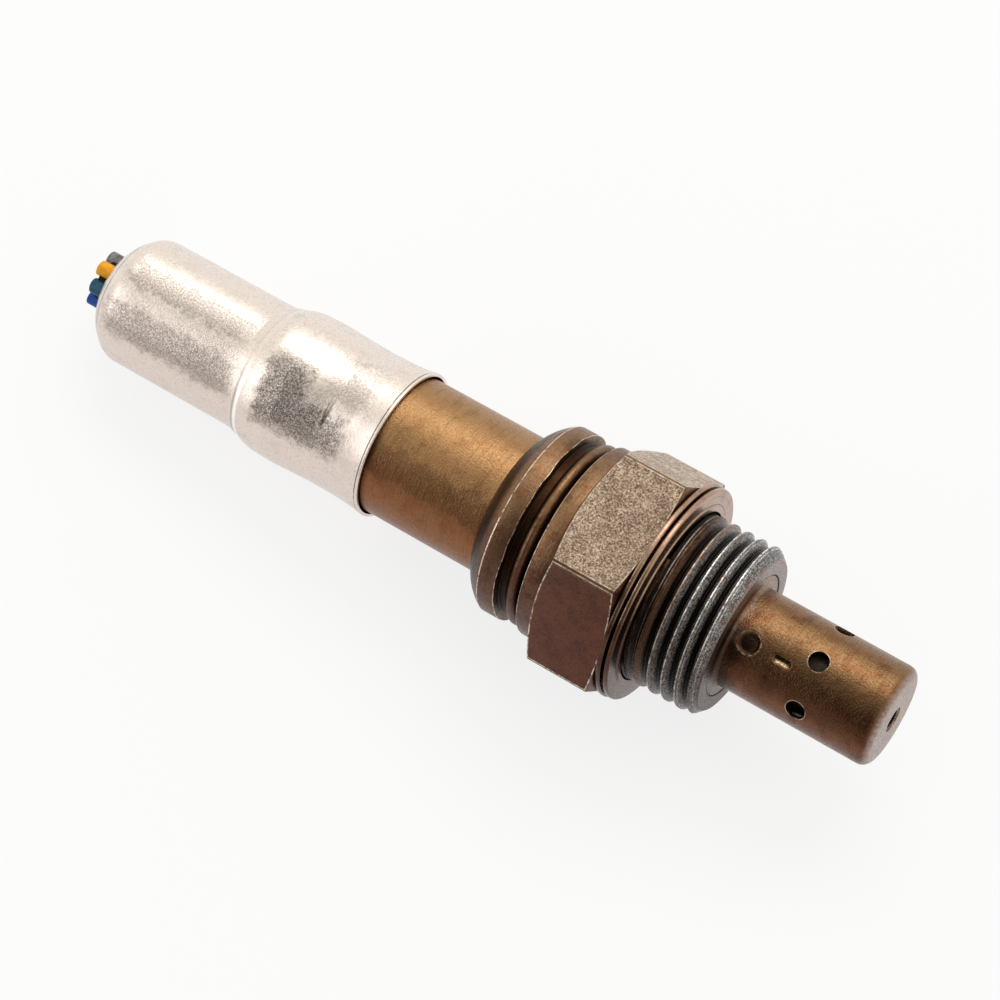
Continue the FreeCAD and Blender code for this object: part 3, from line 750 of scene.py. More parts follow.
    def build(self, palette: "Palette") -> None:
        """Make the shell and put it in place.

        Args:
            palette: The sensor's finishes.
        """
        mesh = self.turned()
        self.rub_rims(mesh)
        self.cut_flats(mesh)
        self.chip(mesh)
        self.join_thread(mesh)
        finishes = [palette.shell, palette.hex_flats, palette.thread, palette.worn_edge, palette.worn_rim]
        place(mesh, "threaded_shell", finishes, ["shell"], 28.0)


@dataclass(frozen=True)
class CrushGasket:
    """Sealing ring folded from sheet, open at its rim, with a lap in front."""

    radius: float = 11.6
    front_radius: float = 11.45
    bore: float = 9.15
    sheet: float = 0.55
    slit: float = 0.22
    heel: float = 0.12
    rim_round: float = 0.2
    lap_radius: float = 9.85
    lap: float = 0.14
    steps: int = 192

    def build(self, palette: "Palette") -> None:
        """Make the gasket and put it in place.

        Args:
            palette: The sensor's finishes.
        """
        slit_front = self.sheet + self.slit
        front = slit_front + self.sheet
        lap_front = front + self.lap
        root = self.bore + self.sheet
        section = Outline().to(0, self.bore, self.heel).to(0, self.radius, self.rim_round)
        section.to(self.sheet, self.radius, self.rim_round)
        section.to(self.sheet, root, 0.1).to(slit_front, root, 0.1)
        section.to(slit_front, self.front_radius, self.rim_round)
        section.to(front, self.front_radius, self.rim_round).to(front, self.lap_radius, 0.03)
        section.to(lap_front, self.lap_radius - self.lap, 0.05).to(lap_front, self.bore, self.heel)
        mesh = spun(section.points(True), self.steps)
        place(mesh, "folded_gasket", [palette.gasket], ["crush_gasket"])


@dataclass(frozen=True)
class Dimple:
    """A round or long dimple pressed in the protection tube, with a lip rolled up round it.

    Where its floor ends and its lip lies is given in shares of its half width.
    """

    station: float
    length: float
    width: float
    depth: float
    lip: float = 0.05
    floor_edge: float = 0.66
    lip_middle: float = 1.1
    lip_half: float = 0.16
    reach: float = 1.4

    def rise(self, x: float, beside: float) -> float:
        """How far the dimple lifts the wall, or sinks it where the value is negative.

        Args:
            x: Station.
            beside: Distance round the wall from the dimple's middle.

        Returns:
            The change of the wall's radius.
        """
        run = max(self.length - self.width, 0.0) / 2
        along = max(abs(x - self.station) - run, 0.0)
        away = math.hypot(along, beside) / (self.width / 2)
        if away >= self.reach:
            return 0.0
        sink = self.depth * (1 - smooth_step(self.floor_edge, 1.0, away))
        return self.lip * max(0.0, 1 - abs(away - self.lip_middle) / self.lip_half) - sink


@dataclass(frozen=True)
class OuterProtector:
    """Drawn protection tube with gas holes, dimples and an end hole."""

    radius: float = 5.25
    wall: float = 0.4
    flange: float = 8.95
    flange_radius: float = 6.5
    root_round: float = 0.5
    tip: float = 25.88
    corner: float = 1.3
    hole_station: float = 18.05
    hole_diameter: float = 2.05
    hole_angle: float = -4.0
    holes: int = 6
    drill_length: float = 3.0
    end_hole: float = 0.9
    ring_radius: float = 1.3
    ring_depth: float = 0.15
    round_dimple: Dimple = Dimple(11.4, 2.4, 2.4, 0.26)
    long_dimple: Dimple = Dimple(15.0, 1.95, 0.9, 0.4)
    dimple_angle: float = -22.5
    dimple_rows: int = 3
    steps: int = 200
    pitch: float = 0.16

    def turned(self) -> BMesh:
        """Turn the tube with both walls.

        Returns:
            The turned tube, without holes and dimples.
        """
        inner = self.radius - self.wall
        root = self.flange + self.wall
        ring_floor = self.tip - self.ring_depth
        section = Outline().to(self.flange, self.flange_radius).to(root, self.flange_radius, 0.05)
        section.to(root, self.radius, self.root_round).to(root + 2 * self.root_round, self.radius)
        section.run(self.tip - 1.6 * self.corner, self.radius, self.pitch)
        section.to(self.tip, self.radius, self.corner).to(self.tip, self.ring_radius, 0.05)
        section.to(ring_floor, self.ring_radius, 0.04).to(ring_floor, self.end_hole, 0.05)
        section.to(self.tip - self.wall, self.end_hole)
        section.to(self.tip - self.wall, inner, self.corner - self.wall)
        section.run(root + self.wall + self.root_round, inner, 4 * self.pitch)
        section.to(self.flange, inner, self.root_round + self.wall)
        return spun(section.points(True), self.steps)

    def press(self, mesh: BMesh) -> None:
        """Press the dimples into both walls.

        Args:
            mesh: The turned tube.
        """
        for vert in mesh.verts:
            radius, angle = polar(vert)
            if radius < self.radius - 1.5 * self.wall or vert.co.x > self.hole_station:
                continue
            for row in range(self.dimple_rows):
                middle = self.dimple_angle + 360.0 / self.dimple_rows * row
                beside = math.radians(angle_apart(angle, middle)) * self.radius
                for dimple in (self.round_dimple, self.long_dimple):
                    rise = dimple.rise(vert.co.x, beside)
                    if rise:
                        set_radius(vert, radius + rise)

    def drills(self) -> bpy.types.Object:
        """Make one drill for each gas hole, all in one object.

        Returns:
            The drills, in the row's frame.
        """
        drills = bmesh.new()
        radius = self.hole_diameter / 2
        for i in range(self.holes):
            out = outwards(self.hole_angle + 360.0 * i / self.holes)
            centre = Vector((self.hole_station, 0, 0)) + out * self.radius
            spot = Matrix.Translation(centre) @ out.to_track_quat("Z", "Y").to_matrix().to_4x4()
            bmesh.ops.create_cone(drills, cap_ends=True, segments=48, radius1=radius, radius2=radius,
                                  depth=self.drill_length, matrix=spot)
        bmesh.ops.transform(drills, matrix=SENSOR.to_row, verts=drills.verts)
        return add_object("gas_drills", pour(drills, "gas_drills"))

    def drill(self, piece: bpy.types.Object) -> None:
        """Drill the gas holes through the finished wall.

        Args:
            piece: The placed tube.
        """
        drills = self.drills()
        cut = piece.modifiers.new("gas_holes", "BOOLEAN")
        cut.operation = "DIFFERENCE"
        cut.solver = "EXACT"
        cut.object = drills
        evaluated = piece.evaluated_get(bpy.context.evaluated_depsgraph_get())
        drilled = bpy.data.meshes.new_from_object(evaluated)
        piece.modifiers.clear()
        piece.data = drilled
        bpy.data.objects.remove(drills)

    def build(self, palette: "Palette") -> None:
        """Make the tube and put it in place.

        Args:
            palette: The sensor's finishes.
        """
        mesh = self.turned()
        self.press(mesh)
        piece = place(mesh, "protection_tube", [palette.protector],
                      ["outer_protector"])
        self.drill(piece)


@dataclass(frozen=True)
class Wire:
    """One cut wire: coloured insulation round a bundle of strands."""

    colour: str
    light: Colour
    dark: Colour
    angle: float
    end: float
    lean: float
    roughness: float = 0.38
    radius: float = 0.82
    core: float = 0.45
    pitch_radius: float = 2.25
    front: float = -64.0
    cut_reach: float = 0.3
    strand: float = 0.145
    strands_round: int = 6
    strand_pitch: float = 2.03
    strand_round: float = 0.04
    strand_step: float = 0.03
    steps: int = 48

    @property
    def centre(self) -> Vector:
        """Offset of the wire's own axis from the sensor's axis."""
        return outwards(self.angle) * self.pitch_radius

    def insulation(self) -> BMesh:
        """Make the tube of insulation with a slightly slanted cut.

        Returns:
            The tube.
        """
        section = Outline().to(self.end, self.core, 0.03).to(self.front, self.core)
        section.to(self.front, self.radius).to(self.end, self.radius, 0.09)
        mesh = spun(section.points(True), self.steps)
        for vert in mesh.verts:
            if vert.co.x < self.end + self.cut_reach:
                vert.co.x += self.lean * (vert.co.y + 0.6 * vert.co.z + self.radius)
        bmesh.ops.translate(mesh, vec=self.centre, verts=mesh.verts)
        return mesh

    def strands(self) -> BMesh:
        """Make one strand with a ring of others round it, which end just inside the cut.

        Returns:
            The strands.
        """
        mesh = bmesh.new()
        lying = Matrix.Rotation(math.pi / 2, 4, "Y")
        for i in range(self.strands_round + 1):
            spread = 0.0 if i == 0 else self.strand_pitch * self.strand
            shift = outwards(360.0 / self.strands_round * i) * spread
            rear = self.end + self.lean * self.radius + self.strand_step * (i % 3)
            middle = Vector(((rear + self.front) / 2, 0, 0)) + shift + self.centre
            made = bmesh.ops.create_cone(mesh, cap_ends=True, segments=14, radius1=self.strand,
                                         radius2=self.strand, depth=self.front - rear,
                                         matrix=Matrix.Translation(middle) @ lying)
            rims = {e for v in made["verts"] for e in v.link_edges
                    if all(abs(w.co.x - rear) < NEAR for w in e.verts)}
            ease_edges(mesh, rims, self.strand_round)
        return mesh

    def build(self, palette: "Palette") -> None:
        """Make the wire and put it in place.

        Args:
            palette: The sensor's finishes.
        """
        name = "wire_" + self.colour
        finish = PlainFinish(name, self.light, self.dark, self.roughness, grain=Noise(2.0, 3.0, 0.6),
                             sheen=0.2).build()
        place(self.insulation(), name + "_jacket", [finish], [name])
        place(self.strands(), name + "_strands", [palette.strand],
              ["conductor_" + self.colour])


@dataclass(frozen=True)
class SealNose:
    """Black rubber that stands out of the sleeve's opening and fills the room between the wires."""

    front: float = -64.4
    bead: float = -65.76
    bead_radius: float = 3.14
    end: float = -67.0
    radius: float = 2.42
    steps: int = 96

    def build(self, palette: "Palette") -> None:
        """Make the nose and put it in place.

        Args:
            palette: The sensor's finishes.
        """
        section = Outline().to(self.front, 0.0).to(self.front, self.bead_radius)
        section.to(self.bead, self.bead_radius, 0.12).to(self.bead, self.radius, 0.05)
        section.to(self.end, self.radius, 0.25).to(self.end, 0.0)
        mesh = spun(section.points(False), self.steps, closed=False)
        place(mesh, "seal_nose", [palette.rubber], [])


@dataclass(frozen=True)
class Noise:
    """A finish's noise: blobs to the millimetre, finer sizes mixed in, their strength, and its stretch."""

    scale: float
    detail: float = 2.0
    roughness: float = 0.5
    stretch: Optional[tuple] = None


@dataclass(frozen=True)
class Span:
    """Range of a value over which a share eases from its start to its end."""

    low: float
    high: float
    start: float = 0.0
    end: float = 1.0


SHADED_SPAN = Span(-0.25, 0.7)


@dataclass(frozen=True)
class Line:
    """Narrow line round a value: its middle, half its width, and the share of colour on it."""

    middle: float
    half: float
    share: float = 1.0


@dataclass(frozen=True)
class Relief:
    """Bump of a finish: how deep a full step is in millimetres, and how much of it shows."""

    depth: float
    strength: float


class NodeTree:
    """Small helper that adds nodes to a tree and joins them."""

    def __init__(self, tree: bpy.types.NodeTree) -> None:
        """Take up the tree.

        Args:
            tree: Node tree of a material or a world.
        """
        self.nodes = tree.nodes
        self.links = tree.links

    def feed(self, node: bpy.types.Node, inputs: dict) -> bpy.types.Node:
        """Link or set a node's inputs.

        Args:
            node: The node.
            inputs: Sockets to link or values to set, by input name or number.

        Returns:
            The same node.
        """
        for key, value in inputs.items():
            if isinstance(value, Socket):
                self.links.new(value, node.inputs[key])
            else:
                node.inputs[key].default_value = value
        return node

    def put(self, kind: str, inputs: dict, **settings: object) -> bpy.types.Node:
        """Add a node.

        Args:
            kind: Type of the node, without its ShaderNode prefix.
            inputs: Sockets to link or values to set, by input name or number.
            settings: Properties of the node itself.

        Returns:
            The new node.
        """
        node = self.nodes.new("ShaderNode" + kind)
        for key, value in settings.items():
            setattr(node, key, value)
        return self.feed(node, inputs)

    def math(self, operation: str, *values: object) -> Socket:
        """Result of one arithmetic step."""
        return self.put("Math", dict(enumerate(values)), operation=operation).outputs[0]

    def plus(self, first: object, second: object) -> Socket:
        """Sum of two values."""
        return self.math("ADD", first, second)

    def minus(self, first: object, second: object) -> Socket:
        """What is left of the first value without the second."""
        return self.math("SUBTRACT", first, second)

    def times(self, *shares: object) -> Socket:
        """Product of several shares."""
        return reduce(lambda first, second: self.math("MULTIPLY", first, second), shares)

    def ease(self, value: Socket, span: Span) -> Socket:
        """Share that a span gives for a value."""
        return self.put("MapRange", {"Value": value, "From Min": span.low, "From Max": span.high,
                                     "To Min": span.start, "To Max": span.end},
                        interpolation_type="SMOOTHSTEP").outputs["Result"]

    def blend(self, share: object, first: object, second: object, mode: str = "MIX") -> Socket:
        """Mix two colours."""
        node = self.put("Mix", {0: share, 6: first, 7: second}, data_type="RGBA", blend_type=mode)
        return node.outputs[2]

    def dye(self, tone: object, tint: object) -> Socket:
        """One colour darkened by another, as paint is by a glaze."""
        return self.blend(1.0, tone, tint, "MULTIPLY")


class Graph(NodeTree):
    """One material's nodes, laid out on the sensor's own coordinates in millimetres."""

    def __init__(self, name: str) -> None:
        """Make the material and its coordinates.

        Args:
            name: Name of the material.
        """
        self.material = bpy.data.materials.new(name)
        self.material.use_nodes = True
        super().__init__(self.material.node_tree)
        self.shader = self.nodes["Principled BSDF"]
        back = SENSOR.turn.transposed()
        mapping = self.put("Mapping", {"Vector": self.put("TexCoord", {}).outputs["Object"],
                                       "Scale": (1 / MM, 1 / MM, 1 / MM), "Rotation": back.to_euler(),
                                       "Location": -(back @ SENSOR.seat) / MM})
        self.place = mapping.outputs["Vector"]

    def noise(self, noise: Noise) -> Socket:
        """Height of a noise over the sensor.

        Args:
            noise: The noise's settings.

        Returns:
            The height from 0 to 1.
        """
        where = self.place
        if noise.stretch is not None:
            stretched = self.put("VectorMath", {0: where, 1: noise.stretch}, operation="MULTIPLY")
            where = stretched.outputs[0]
        return self.put("TexNoise", {"Vector": where, "Scale": noise.scale, "Detail": noise.detail,
                                     "Roughness": noise.roughness}).outputs["Fac"]

    def cells(self, scale: float) -> Socket:
        """Distance to the nearest of scattered points, with a number of them to the millimetre."""
        return self.put("TexVoronoi", {"Vector": self.place, "Scale": scale}).outputs["Distance"]

    def bump(self, height: Socket, relief: Relief, below: Optional[Socket] = None) -> Socket:
        """Bump from a height.

        Args:
            height: Height from 0 to 1.
            relief: How deep the bump is.
            below: Normal of a bump that lies under this one.

        Returns:
            The bumped normal.
        """
        inputs = {"Height": height, "Distance": relief.depth * MM, "Strength": relief.strength}
        if below is not None:
            inputs["Normal"] = below
        return self.put("Bump", inputs).outputs["Normal"]

    def station(self) -> Socket:
        """Station along the sensor."""
        return self.put("SeparateXYZ", {0: self.place}).outputs["X"]

    def angle(self) -> Socket:
        """Angle about the axis in radians, from straight up towards +Y."""
        parts = self.put("SeparateXYZ", {0: self.place})
        return self.math("ARCTAN2", parts.outputs["Y"], parts.outputs["Z"])

    def facing(self, angle: float) -> Socket:
        """Cosine of the turn from an angle about the axis."""
        return self.math("COSINE", self.minus(self.angle(), math.radians(angle)))

    def shaded_side(self) -> Socket:
        """Share from 0 on the sensor's lit side to 1 on its lower side, which gets painted shade."""
        return self.ease(self.facing(SHADED_ANGLE), SHADED_SPAN)

    def length(self, x: object, y: object, z: object) -> Socket:
        """Length of a vector with three parts."""
        vector = self.put("CombineXYZ", {0: x, 1: y, 2: z}).outputs[0]
        return self.put("VectorMath", {0: vector}, operation="LENGTH").outputs["Value"]

    def radius(self) -> Socket:
        """Distance from the sensor's axis."""
        parts = self.put("SeparateXYZ", {0: self.place})
        return self.length(0.0, parts.outputs["Y"], parts.outputs["Z"])

    def line(self, value: Socket, line: Line) -> Socket:
        """Share of a line drawn where a value is at the line's middle."""
        off = self.math("ABSOLUTE", self.minus(value, line.middle))
        return self.ease(off, Span(0.4 * line.half, line.half, line.share, 0.0))

    def finish(self, colour: object, metallic: float, roughness: object, normal: Socket) -> None:
        """Set the shader."""
        self.feed(self.shader, {"Base Color": colour, "Metallic": metallic, "Roughness": roughness,
                                "Normal": normal})


@dataclass(frozen=True)
class Finish(ABC):
    """What all finishes share: each makes one material and lays its own coat on it."""

    name: str

    @abstractmethod
    def coat(self, graph: Graph) -> None:
        """Lay out the finish's own nodes."""

    def build(self) -> bpy.types.Material:
        """Make the material.

        Returns:
            The finished material.
        """
        graph = Graph(self.name)
        self.coat(graph)
        return graph.material


@dataclass(frozen=True)
class PaintedShadeBand:
    """Band of painted shade on a tube, faded at its ends and sides and broken up by a noise."""

    rear: float
    front: float
    angle: float
    reach: float
    share: float
    rear_fade: float = 0.6
    front_fade: float = 0.9
    wander: float = 4.0
    sway: float = 0.5

    def cover(self, graph: Graph, noise: Socket) -> Socket:
        """Lay out the share of the patch.

        Args:
            graph: The material's helper.
            noise: Noise that shifts the patch's ends and sides.

        Returns:
            The share, from 0 outside the patch to its own share in the middle.
        """
        shift = graph.math("MULTIPLY_ADD", noise, self.wander, -self.wander / 2)
        station = graph.plus(graph.station(), shift)
        rear = graph.ease(station, Span(self.rear - self.rear_fade, self.rear + self.rear_fade))
        front = graph.ease(station, Span(self.front + self.front_fade, self.front - self.front_fade))
        turned = graph.minus(graph.angle(), math.radians(self.angle))
        turned = graph.plus(turned, graph.math("MULTIPLY_ADD", noise, self.sway, -self.sway / 2))
        sides = Span(math.cos(math.radians(self.reach)), math.cos(math.radians(self.reach / 2)))
        return graph.times(rear, front, graph.ease(graph.math("COSINE", turned), sides), self.share)


@dataclass(frozen=True)
class SilverFinish(Finish):
    """Drawn stainless sleeve: pale, satin, speckled, with painted shade lines on its domed end's rolled
    steps.
    """

    name: str = "sleeve_silver"
    light: Colour = rgb(0.88, 0.78, 0.7)
    dark: Colour = rgb(0.55, 0.47, 0.43)
    painted_shade_dye: Colour = rgb(0.86, 0.83, 0.83)
    pit_and_painted_shade: Colour = rgb(0.1, 0.08, 0.07)
    painted_shade_colour: Colour = rgb(0.13, 0.11, 0.1)
    crease_painted_highlight: Colour = rgb(1.0, 0.97, 0.93)
    speckle: Noise = Noise(4.8, 4.0, 0.85)
    rolling: Noise = Noise(1.0, 2.0, 0.5, (7.0, 0.25, 0.25))
    patches: Noise = Noise(0.5, 4.0, 0.65)
    drift: Noise = Noise(0.9, 4.0, 0.7)
    shade_band_grain: Noise = Noise(5.4, 3.0, 0.85)
    pit_scale: float = 0.75
    speckled: Span = Span(0.5, 0.68, 0.0, 0.75)
    smudged: Span = Span(0.5, 0.72, 0.0, 0.3)
    shade_band_broken: Span = Span(0.44, 0.56, 0.28, 1.0)
    pitted: Span = Span(0.0, 0.07, 0.9, 0.0)
    step_shade_lines: tuple = (Line(-65.2, 0.05), Line(-64.75, 0.06), Line(-63.9, 0.08), Line(-30.45, 0.09))
    step_line_broken: Span = Span(0.33, 0.5, 0.0, 0.9)
    crease_painted_shade: Line = Line(-45.95, 0.2, 0.4)
    painted_glint: Line = Line(-45.53, 0.3, 0.9)
    painted_line_fade: Span = Span(0.1, 0.5, 0.15, 1.0)
    roughness: Span = Span(0.3, 0.7, 0.13, 0.23)
    rear_roughness: Span = Span(-47.5, -50.0, 0.0, 0.05)
    smudge_roughness: float = 0.2
    rolling_relief: Relief = Relief(0.01, 0.5)
    speckle_relief: Relief = Relief(0.036, 0.8)
    painted_shade_bands: tuple = (PaintedShadeBand(-62.0, -47.6, 0.0, 14.0, 0.55), PaintedShadeBand(-63.0, -46.8, -43.0, 20.0, 0.62),
                     PaintedShadeBand(-43.6, -38.7, -30.0, 35.0, 0.95), PaintedShadeBand(-38.7, -33.6, -42.0, 21.0, 0.85),
                     PaintedShadeBand(-37.4, -32.8, 4.0, 25.0, 0.45))

    def coat(self, graph: Graph) -> None:
        """Lay out the silver with its painted shade and highlight: lower side, dark bands, crease and step
        lines.

        Args:
            graph: The material's helper.
        """
        station = graph.station()
        speckle = graph.noise(self.speckle)
        patches = graph.noise(self.patches)
        tone = graph.blend(graph.ease(speckle, self.speckled), self.light, self.dark)
        # Painted shade: the lower side is dyed darker.
        tone = graph.blend(graph.shaded_side(), tone, graph.dye(tone, self.painted_shade_dye))
        smudged = graph.ease(patches, self.smudged)
        tone = graph.blend(smudged, tone, self.dark)
        drift = graph.noise(self.drift)
        broken = graph.ease(graph.noise(self.shade_band_grain), self.shade_band_broken)
        # Painted shade: dark bands where the sleeve shows dark reflections.
        for painted_band in self.painted_shade_bands:
            tone = graph.blend(graph.times(painted_band.cover(graph, drift), broken), tone, self.painted_shade_colour)
        # Painted shade in the neck's crease and a painted highlight beside it, both fading towards the lit
        # side.
        painted_line_fade = graph.ease(graph.shaded_side(), self.painted_line_fade)
        for line, colour in ((self.crease_painted_shade, self.painted_shade_colour), (self.painted_glint, self.crease_painted_highlight)):
            tone = graph.blend(graph.times(graph.line(station, line), painted_line_fade), tone, colour)
        tone = graph.blend(graph.ease(graph.cells(self.pit_scale), self.pitted), tone, self.pit_and_painted_shade)
        broken = graph.ease(patches, self.step_line_broken)
        # Painted shade: dark lines along the rolled steps of the dome and behind the lip.
        for mark in self.step_shade_lines:
            tone = graph.blend(graph.times(graph.line(station, mark), broken), tone, self.pit_and_painted_shade)
        rough = graph.plus(graph.ease(speckle, self.roughness), graph.ease(station, self.rear_roughness))
        rough = graph.plus(rough, graph.times(smudged, self.smudge_roughness))
        normal = graph.bump(graph.noise(self.rolling), self.rolling_relief)
        graph.finish(tone, 1.0, rough, graph.bump(speckle, self.speckle_relief, normal))


@dataclass(frozen=True)
class BronzeFinish(Finish):
    """Steel with a heat tint, gold on its lit side and brown in painted shade on the other, brushed round
    the axis.
    """

    # Lit tone, and its darker copy for the painted shade on the lower side.
    lit_tone: Colour
    painted_shade_tone: Colour
    roughness: float
    darkening: Colour = rgb(0.45, 0.38, 0.33)
    reddening: Colour = rgb(0.85, 0.62, 0.58)
    painted_shade_colour: Colour = rgb(0.045, 0.026, 0.014)
    grain: Noise = Noise(5.0, 3.0, 0.65)
    brushing: Noise = Noise(1.0, 2.0, 0.5, (6.0, 0.3, 0.3))
    patches: Noise = Noise(0.45, 4.0, 0.65)
    reds: Noise = Noise(0.8, 3.0)
    drift: Noise = Noise(0.6, 4.0, 0.7)
    mottle: float = 0.4
    patch: float = 0.5
    red_share: float = 0.8
    patch_shift: float = 0.5
    painted_shade_share: Span = Span(0.2, 1.3)
    mottled: Span = Span(0.45, 0.8)
    patched: Span = Span(0.5, 0.7)
    reddened: Span = Span(0.48, 0.62)
    brushed: Span = Span(0.52, 0.7, 0.0, 0.4)
    brushing_relief: Relief = Relief(0.015, 0.6)
    grain_relief: Relief = Relief(0.03, 0.7)
    groove_painted_shade: Optional[Span] = None
    painted_shade_band: Optional[PaintedShadeBand] = None

    def surface(self, graph: Graph) -> tuple[Socket, ...]:
        """Lay out the tinted surface with its painted shade.

        Args:
            graph: The material's helper.

        Returns:
            The colour, roughness and normal.
        """
        grain = graph.noise(self.grain)
        brushing = graph.noise(self.brushing)
        patches = graph.noise(self.patches)
        side = graph.plus(graph.shaded_side(), graph.times(patches, self.patch_shift))
        # Painted shade: the lower side takes the darker copy of the tint.
        tone = graph.blend(graph.ease(side, self.painted_shade_share), self.lit_tone, self.painted_shade_tone)
        darker = graph.dye(tone, self.darkening)
        tone = graph.blend(graph.times(graph.ease(grain, self.mottled), self.mottle), tone, darker)
        tone = graph.blend(graph.times(graph.ease(patches, self.patched), self.patch), tone, darker)
        red = graph.times(graph.ease(graph.noise(self.reds), self.reddened), self.red_share * self.patch)
        tone = graph.blend(red, tone, graph.dye(tone, self.reddening))
        tone = graph.blend(graph.ease(brushing, self.brushed), tone, darker)
        # Painted shade: a dark band standing in for a dark reflection.
        if self.painted_shade_band is not None:
            tone = graph.blend(self.painted_shade_band.cover(graph, graph.noise(self.drift)), tone, self.painted_shade_colour)
        # Painted shade: darker below the collar's radius, into the shell's groove and down the collar's
        # lip.
        if self.groove_painted_shade is not None:
            tone = graph.blend(graph.ease(graph.radius(), self.groove_painted_shade), tone, graph.dye(darker, darker))
        rough = graph.ease(grain, Span(0.2, 0.8, self.roughness - 0.08, self.roughness + 0.1))
        normal = graph.bump(brushing, self.brushing_relief)
        return tone, rough, graph.bump(grain, self.grain_relief, normal)

    def coat(self, graph: Graph) -> None:
        """Lay out the tinted surface alone."""
        tone, rough, normal = self.surface(graph)
        graph.finish(tone, 1.0, rough, normal)


@dataclass(frozen=True)
class WornEdgeFinish(Finish):
    """Edges rubbed bright through the tint, broken up along their length."""

    worn: Span
    metallic: float = 1.0
    bright: Colour = rgb(0.95, 0.84, 0.7)
    dull: Colour = rgb(0.16, 0.1, 0.07)
    roughness: float = 0.34
    wear: Noise = Noise(1.5, 4.0, 0.75)
    grain: Noise = Noise(5.0)
    grain_relief: Relief = Relief(0.04, 0.8)

    def coat(self, graph: Graph) -> None:
        """Lay out the rubbed and the dull stretches.

        Args:
            graph: The material's helper.
        """
        tone = graph.blend(graph.ease(graph.noise(self.wear), self.worn), self.dull, self.bright)
        normal = graph.bump(graph.noise(self.grain), self.grain_relief)
        graph.finish(tone, self.metallic, self.roughness, normal)


@dataclass(frozen=True)
class HexFlatFinish(Finish):
    """Grainy flats of the hexagon: beige bronze on the lit side, dark red-brown in painted shade on the
    other.
    """

    name: str = "hex_flats"
    shell: Shell = Shell()
    lit_tone: Colour = rgb(0.43, 0.31, 0.22)
    lit_tone_dark: Colour = rgb(0.16, 0.105, 0.072)
    sparkle: Colour = rgb(0.86, 0.7, 0.53)
    rubbed: Colour = rgb(0.85, 0.73, 0.6)
    # Darker tones for the painted shade on the flats that face down.
    painted_shade_tone: Colour = rgb(0.13, 0.052, 0.034)
    painted_shade_tone_dark: Colour = rgb(0.095, 0.042, 0.03)
    darkening: Colour = rgb(0.4, 0.34, 0.3)
    pore: Colour = rgb(0.035, 0.02, 0.015)
    grain: Noise = Noise(4.8, 4.0, 0.8)
    fine: Noise = Noise(6.0, 2.0, 0.7)
    patches: Noise = Noise(0.7, 4.0, 0.7)
    wear: Noise = Noise(1.7, 4.0, 0.75)
    pore_scale: float = 1.1
    grain_share: float = 0.78
    painted_shade_side: Span = Span(0.14, 0.24)
    dark_grain: Span = Span(0.4, 0.52)
    sparkling: Span = Span(0.5, 0.6)
    dull_patches: Span = Span(0.35, 0.62)
    darkened: Span = Span(0.5, 0.66, 0.0, 0.6)
    pored: Span = Span(0.0, 0.13, 0.85, 0.0)
    worn: Span = Span(0.42, 0.6, 0.05, 0.9)
    rear_border: Span = Span(0.1, 0.38, 1.0, 0.0)
    front_border: Span = Span(0.2, 0.6, 1.0, 0.0)
    corner_border: Span = Span(-0.07, -0.03)
    roughness: Span = Span(0.3, 0.7, 0.42, 0.26)
    lit_side_ripple: Span = Span(0.0, 1.0, 0.2, 1.0)
    ripple_relief: Relief = Relief(0.2, 0.9)
    fine_relief: Relief = Relief(0.03, 0.7)

    def border(self, graph: Graph) -> Socket:
        """Lay out the narrow borders along the corners and the two chamfers.

        Args:
            graph: The material's helper.

        Returns:
            The share of the borders.
        """
        shell = self.shell
        radius = graph.radius()
        rear_rise = 1 / math.tan(math.radians(shell.rear_chamfer))
        front_rise = 1 / math.tan(math.radians(shell.front_chamfer))
        rear_cone = graph.math("MULTIPLY_ADD", graph.station(), rear_rise,
                               shell.boss_radius - shell.hex_rear * rear_rise)
        front_cone = graph.math("MULTIPLY_ADD", graph.station(), -front_rise, shell.face_radius)
        rear = graph.ease(graph.minus(rear_cone, radius), self.rear_border)
        front = graph.ease(graph.minus(front_cone, radius), self.front_border)
        corner = graph.ease(radius, Span(shell.corner_radius + self.corner_border.low,
                                         shell.corner_radius + self.corner_border.high))
        return graph.math("MAXIMUM", graph.math("MAXIMUM", rear, front), corner)

    def coat(self, graph: Graph) -> None:
        """Lay out the grain of the lit side and of the side in painted shade, the pores and the worn
        borders.

        Args:
            graph: The material's helper.
        """
        grain = graph.noise(self.grain)
        fine = graph.noise(self.fine)
        patches = graph.noise(self.patches)
        # Painted shade: the flats that face down take the darker tones.
        side = graph.ease(graph.facing(SHADED_ANGLE), self.painted_shade_side)
        mixed = graph.plus(graph.times(grain, self.grain_share), graph.times(patches, 1 - self.grain_share))
        bright = graph.blend(graph.ease(mixed, self.dark_grain), self.lit_tone_dark, self.lit_tone)
        bright = graph.blend(graph.ease(mixed, self.sparkling), bright, self.sparkle)
        dull = graph.blend(graph.ease(patches, self.dull_patches), self.painted_shade_tone_dark, self.painted_shade_tone)
        tone = graph.blend(side, bright, dull)
        tone = graph.blend(graph.ease(fine, self.darkened), tone, graph.dye(tone, self.darkening))
        tone = graph.blend(graph.ease(graph.cells(self.pore_scale), self.pored), tone, self.pore)
        worn = graph.times(self.border(graph), graph.ease(graph.noise(self.wear), self.worn))
        tone = graph.blend(worn, tone, self.rubbed)
        rippled = graph.times(grain, graph.ease(graph.minus(1.0, side), self.lit_side_ripple))
        normal = graph.bump(fine, self.fine_relief, graph.bump(rippled, self.ripple_relief))
        graph.finish(tone, 1.0, graph.ease(grain, self.roughness), normal)


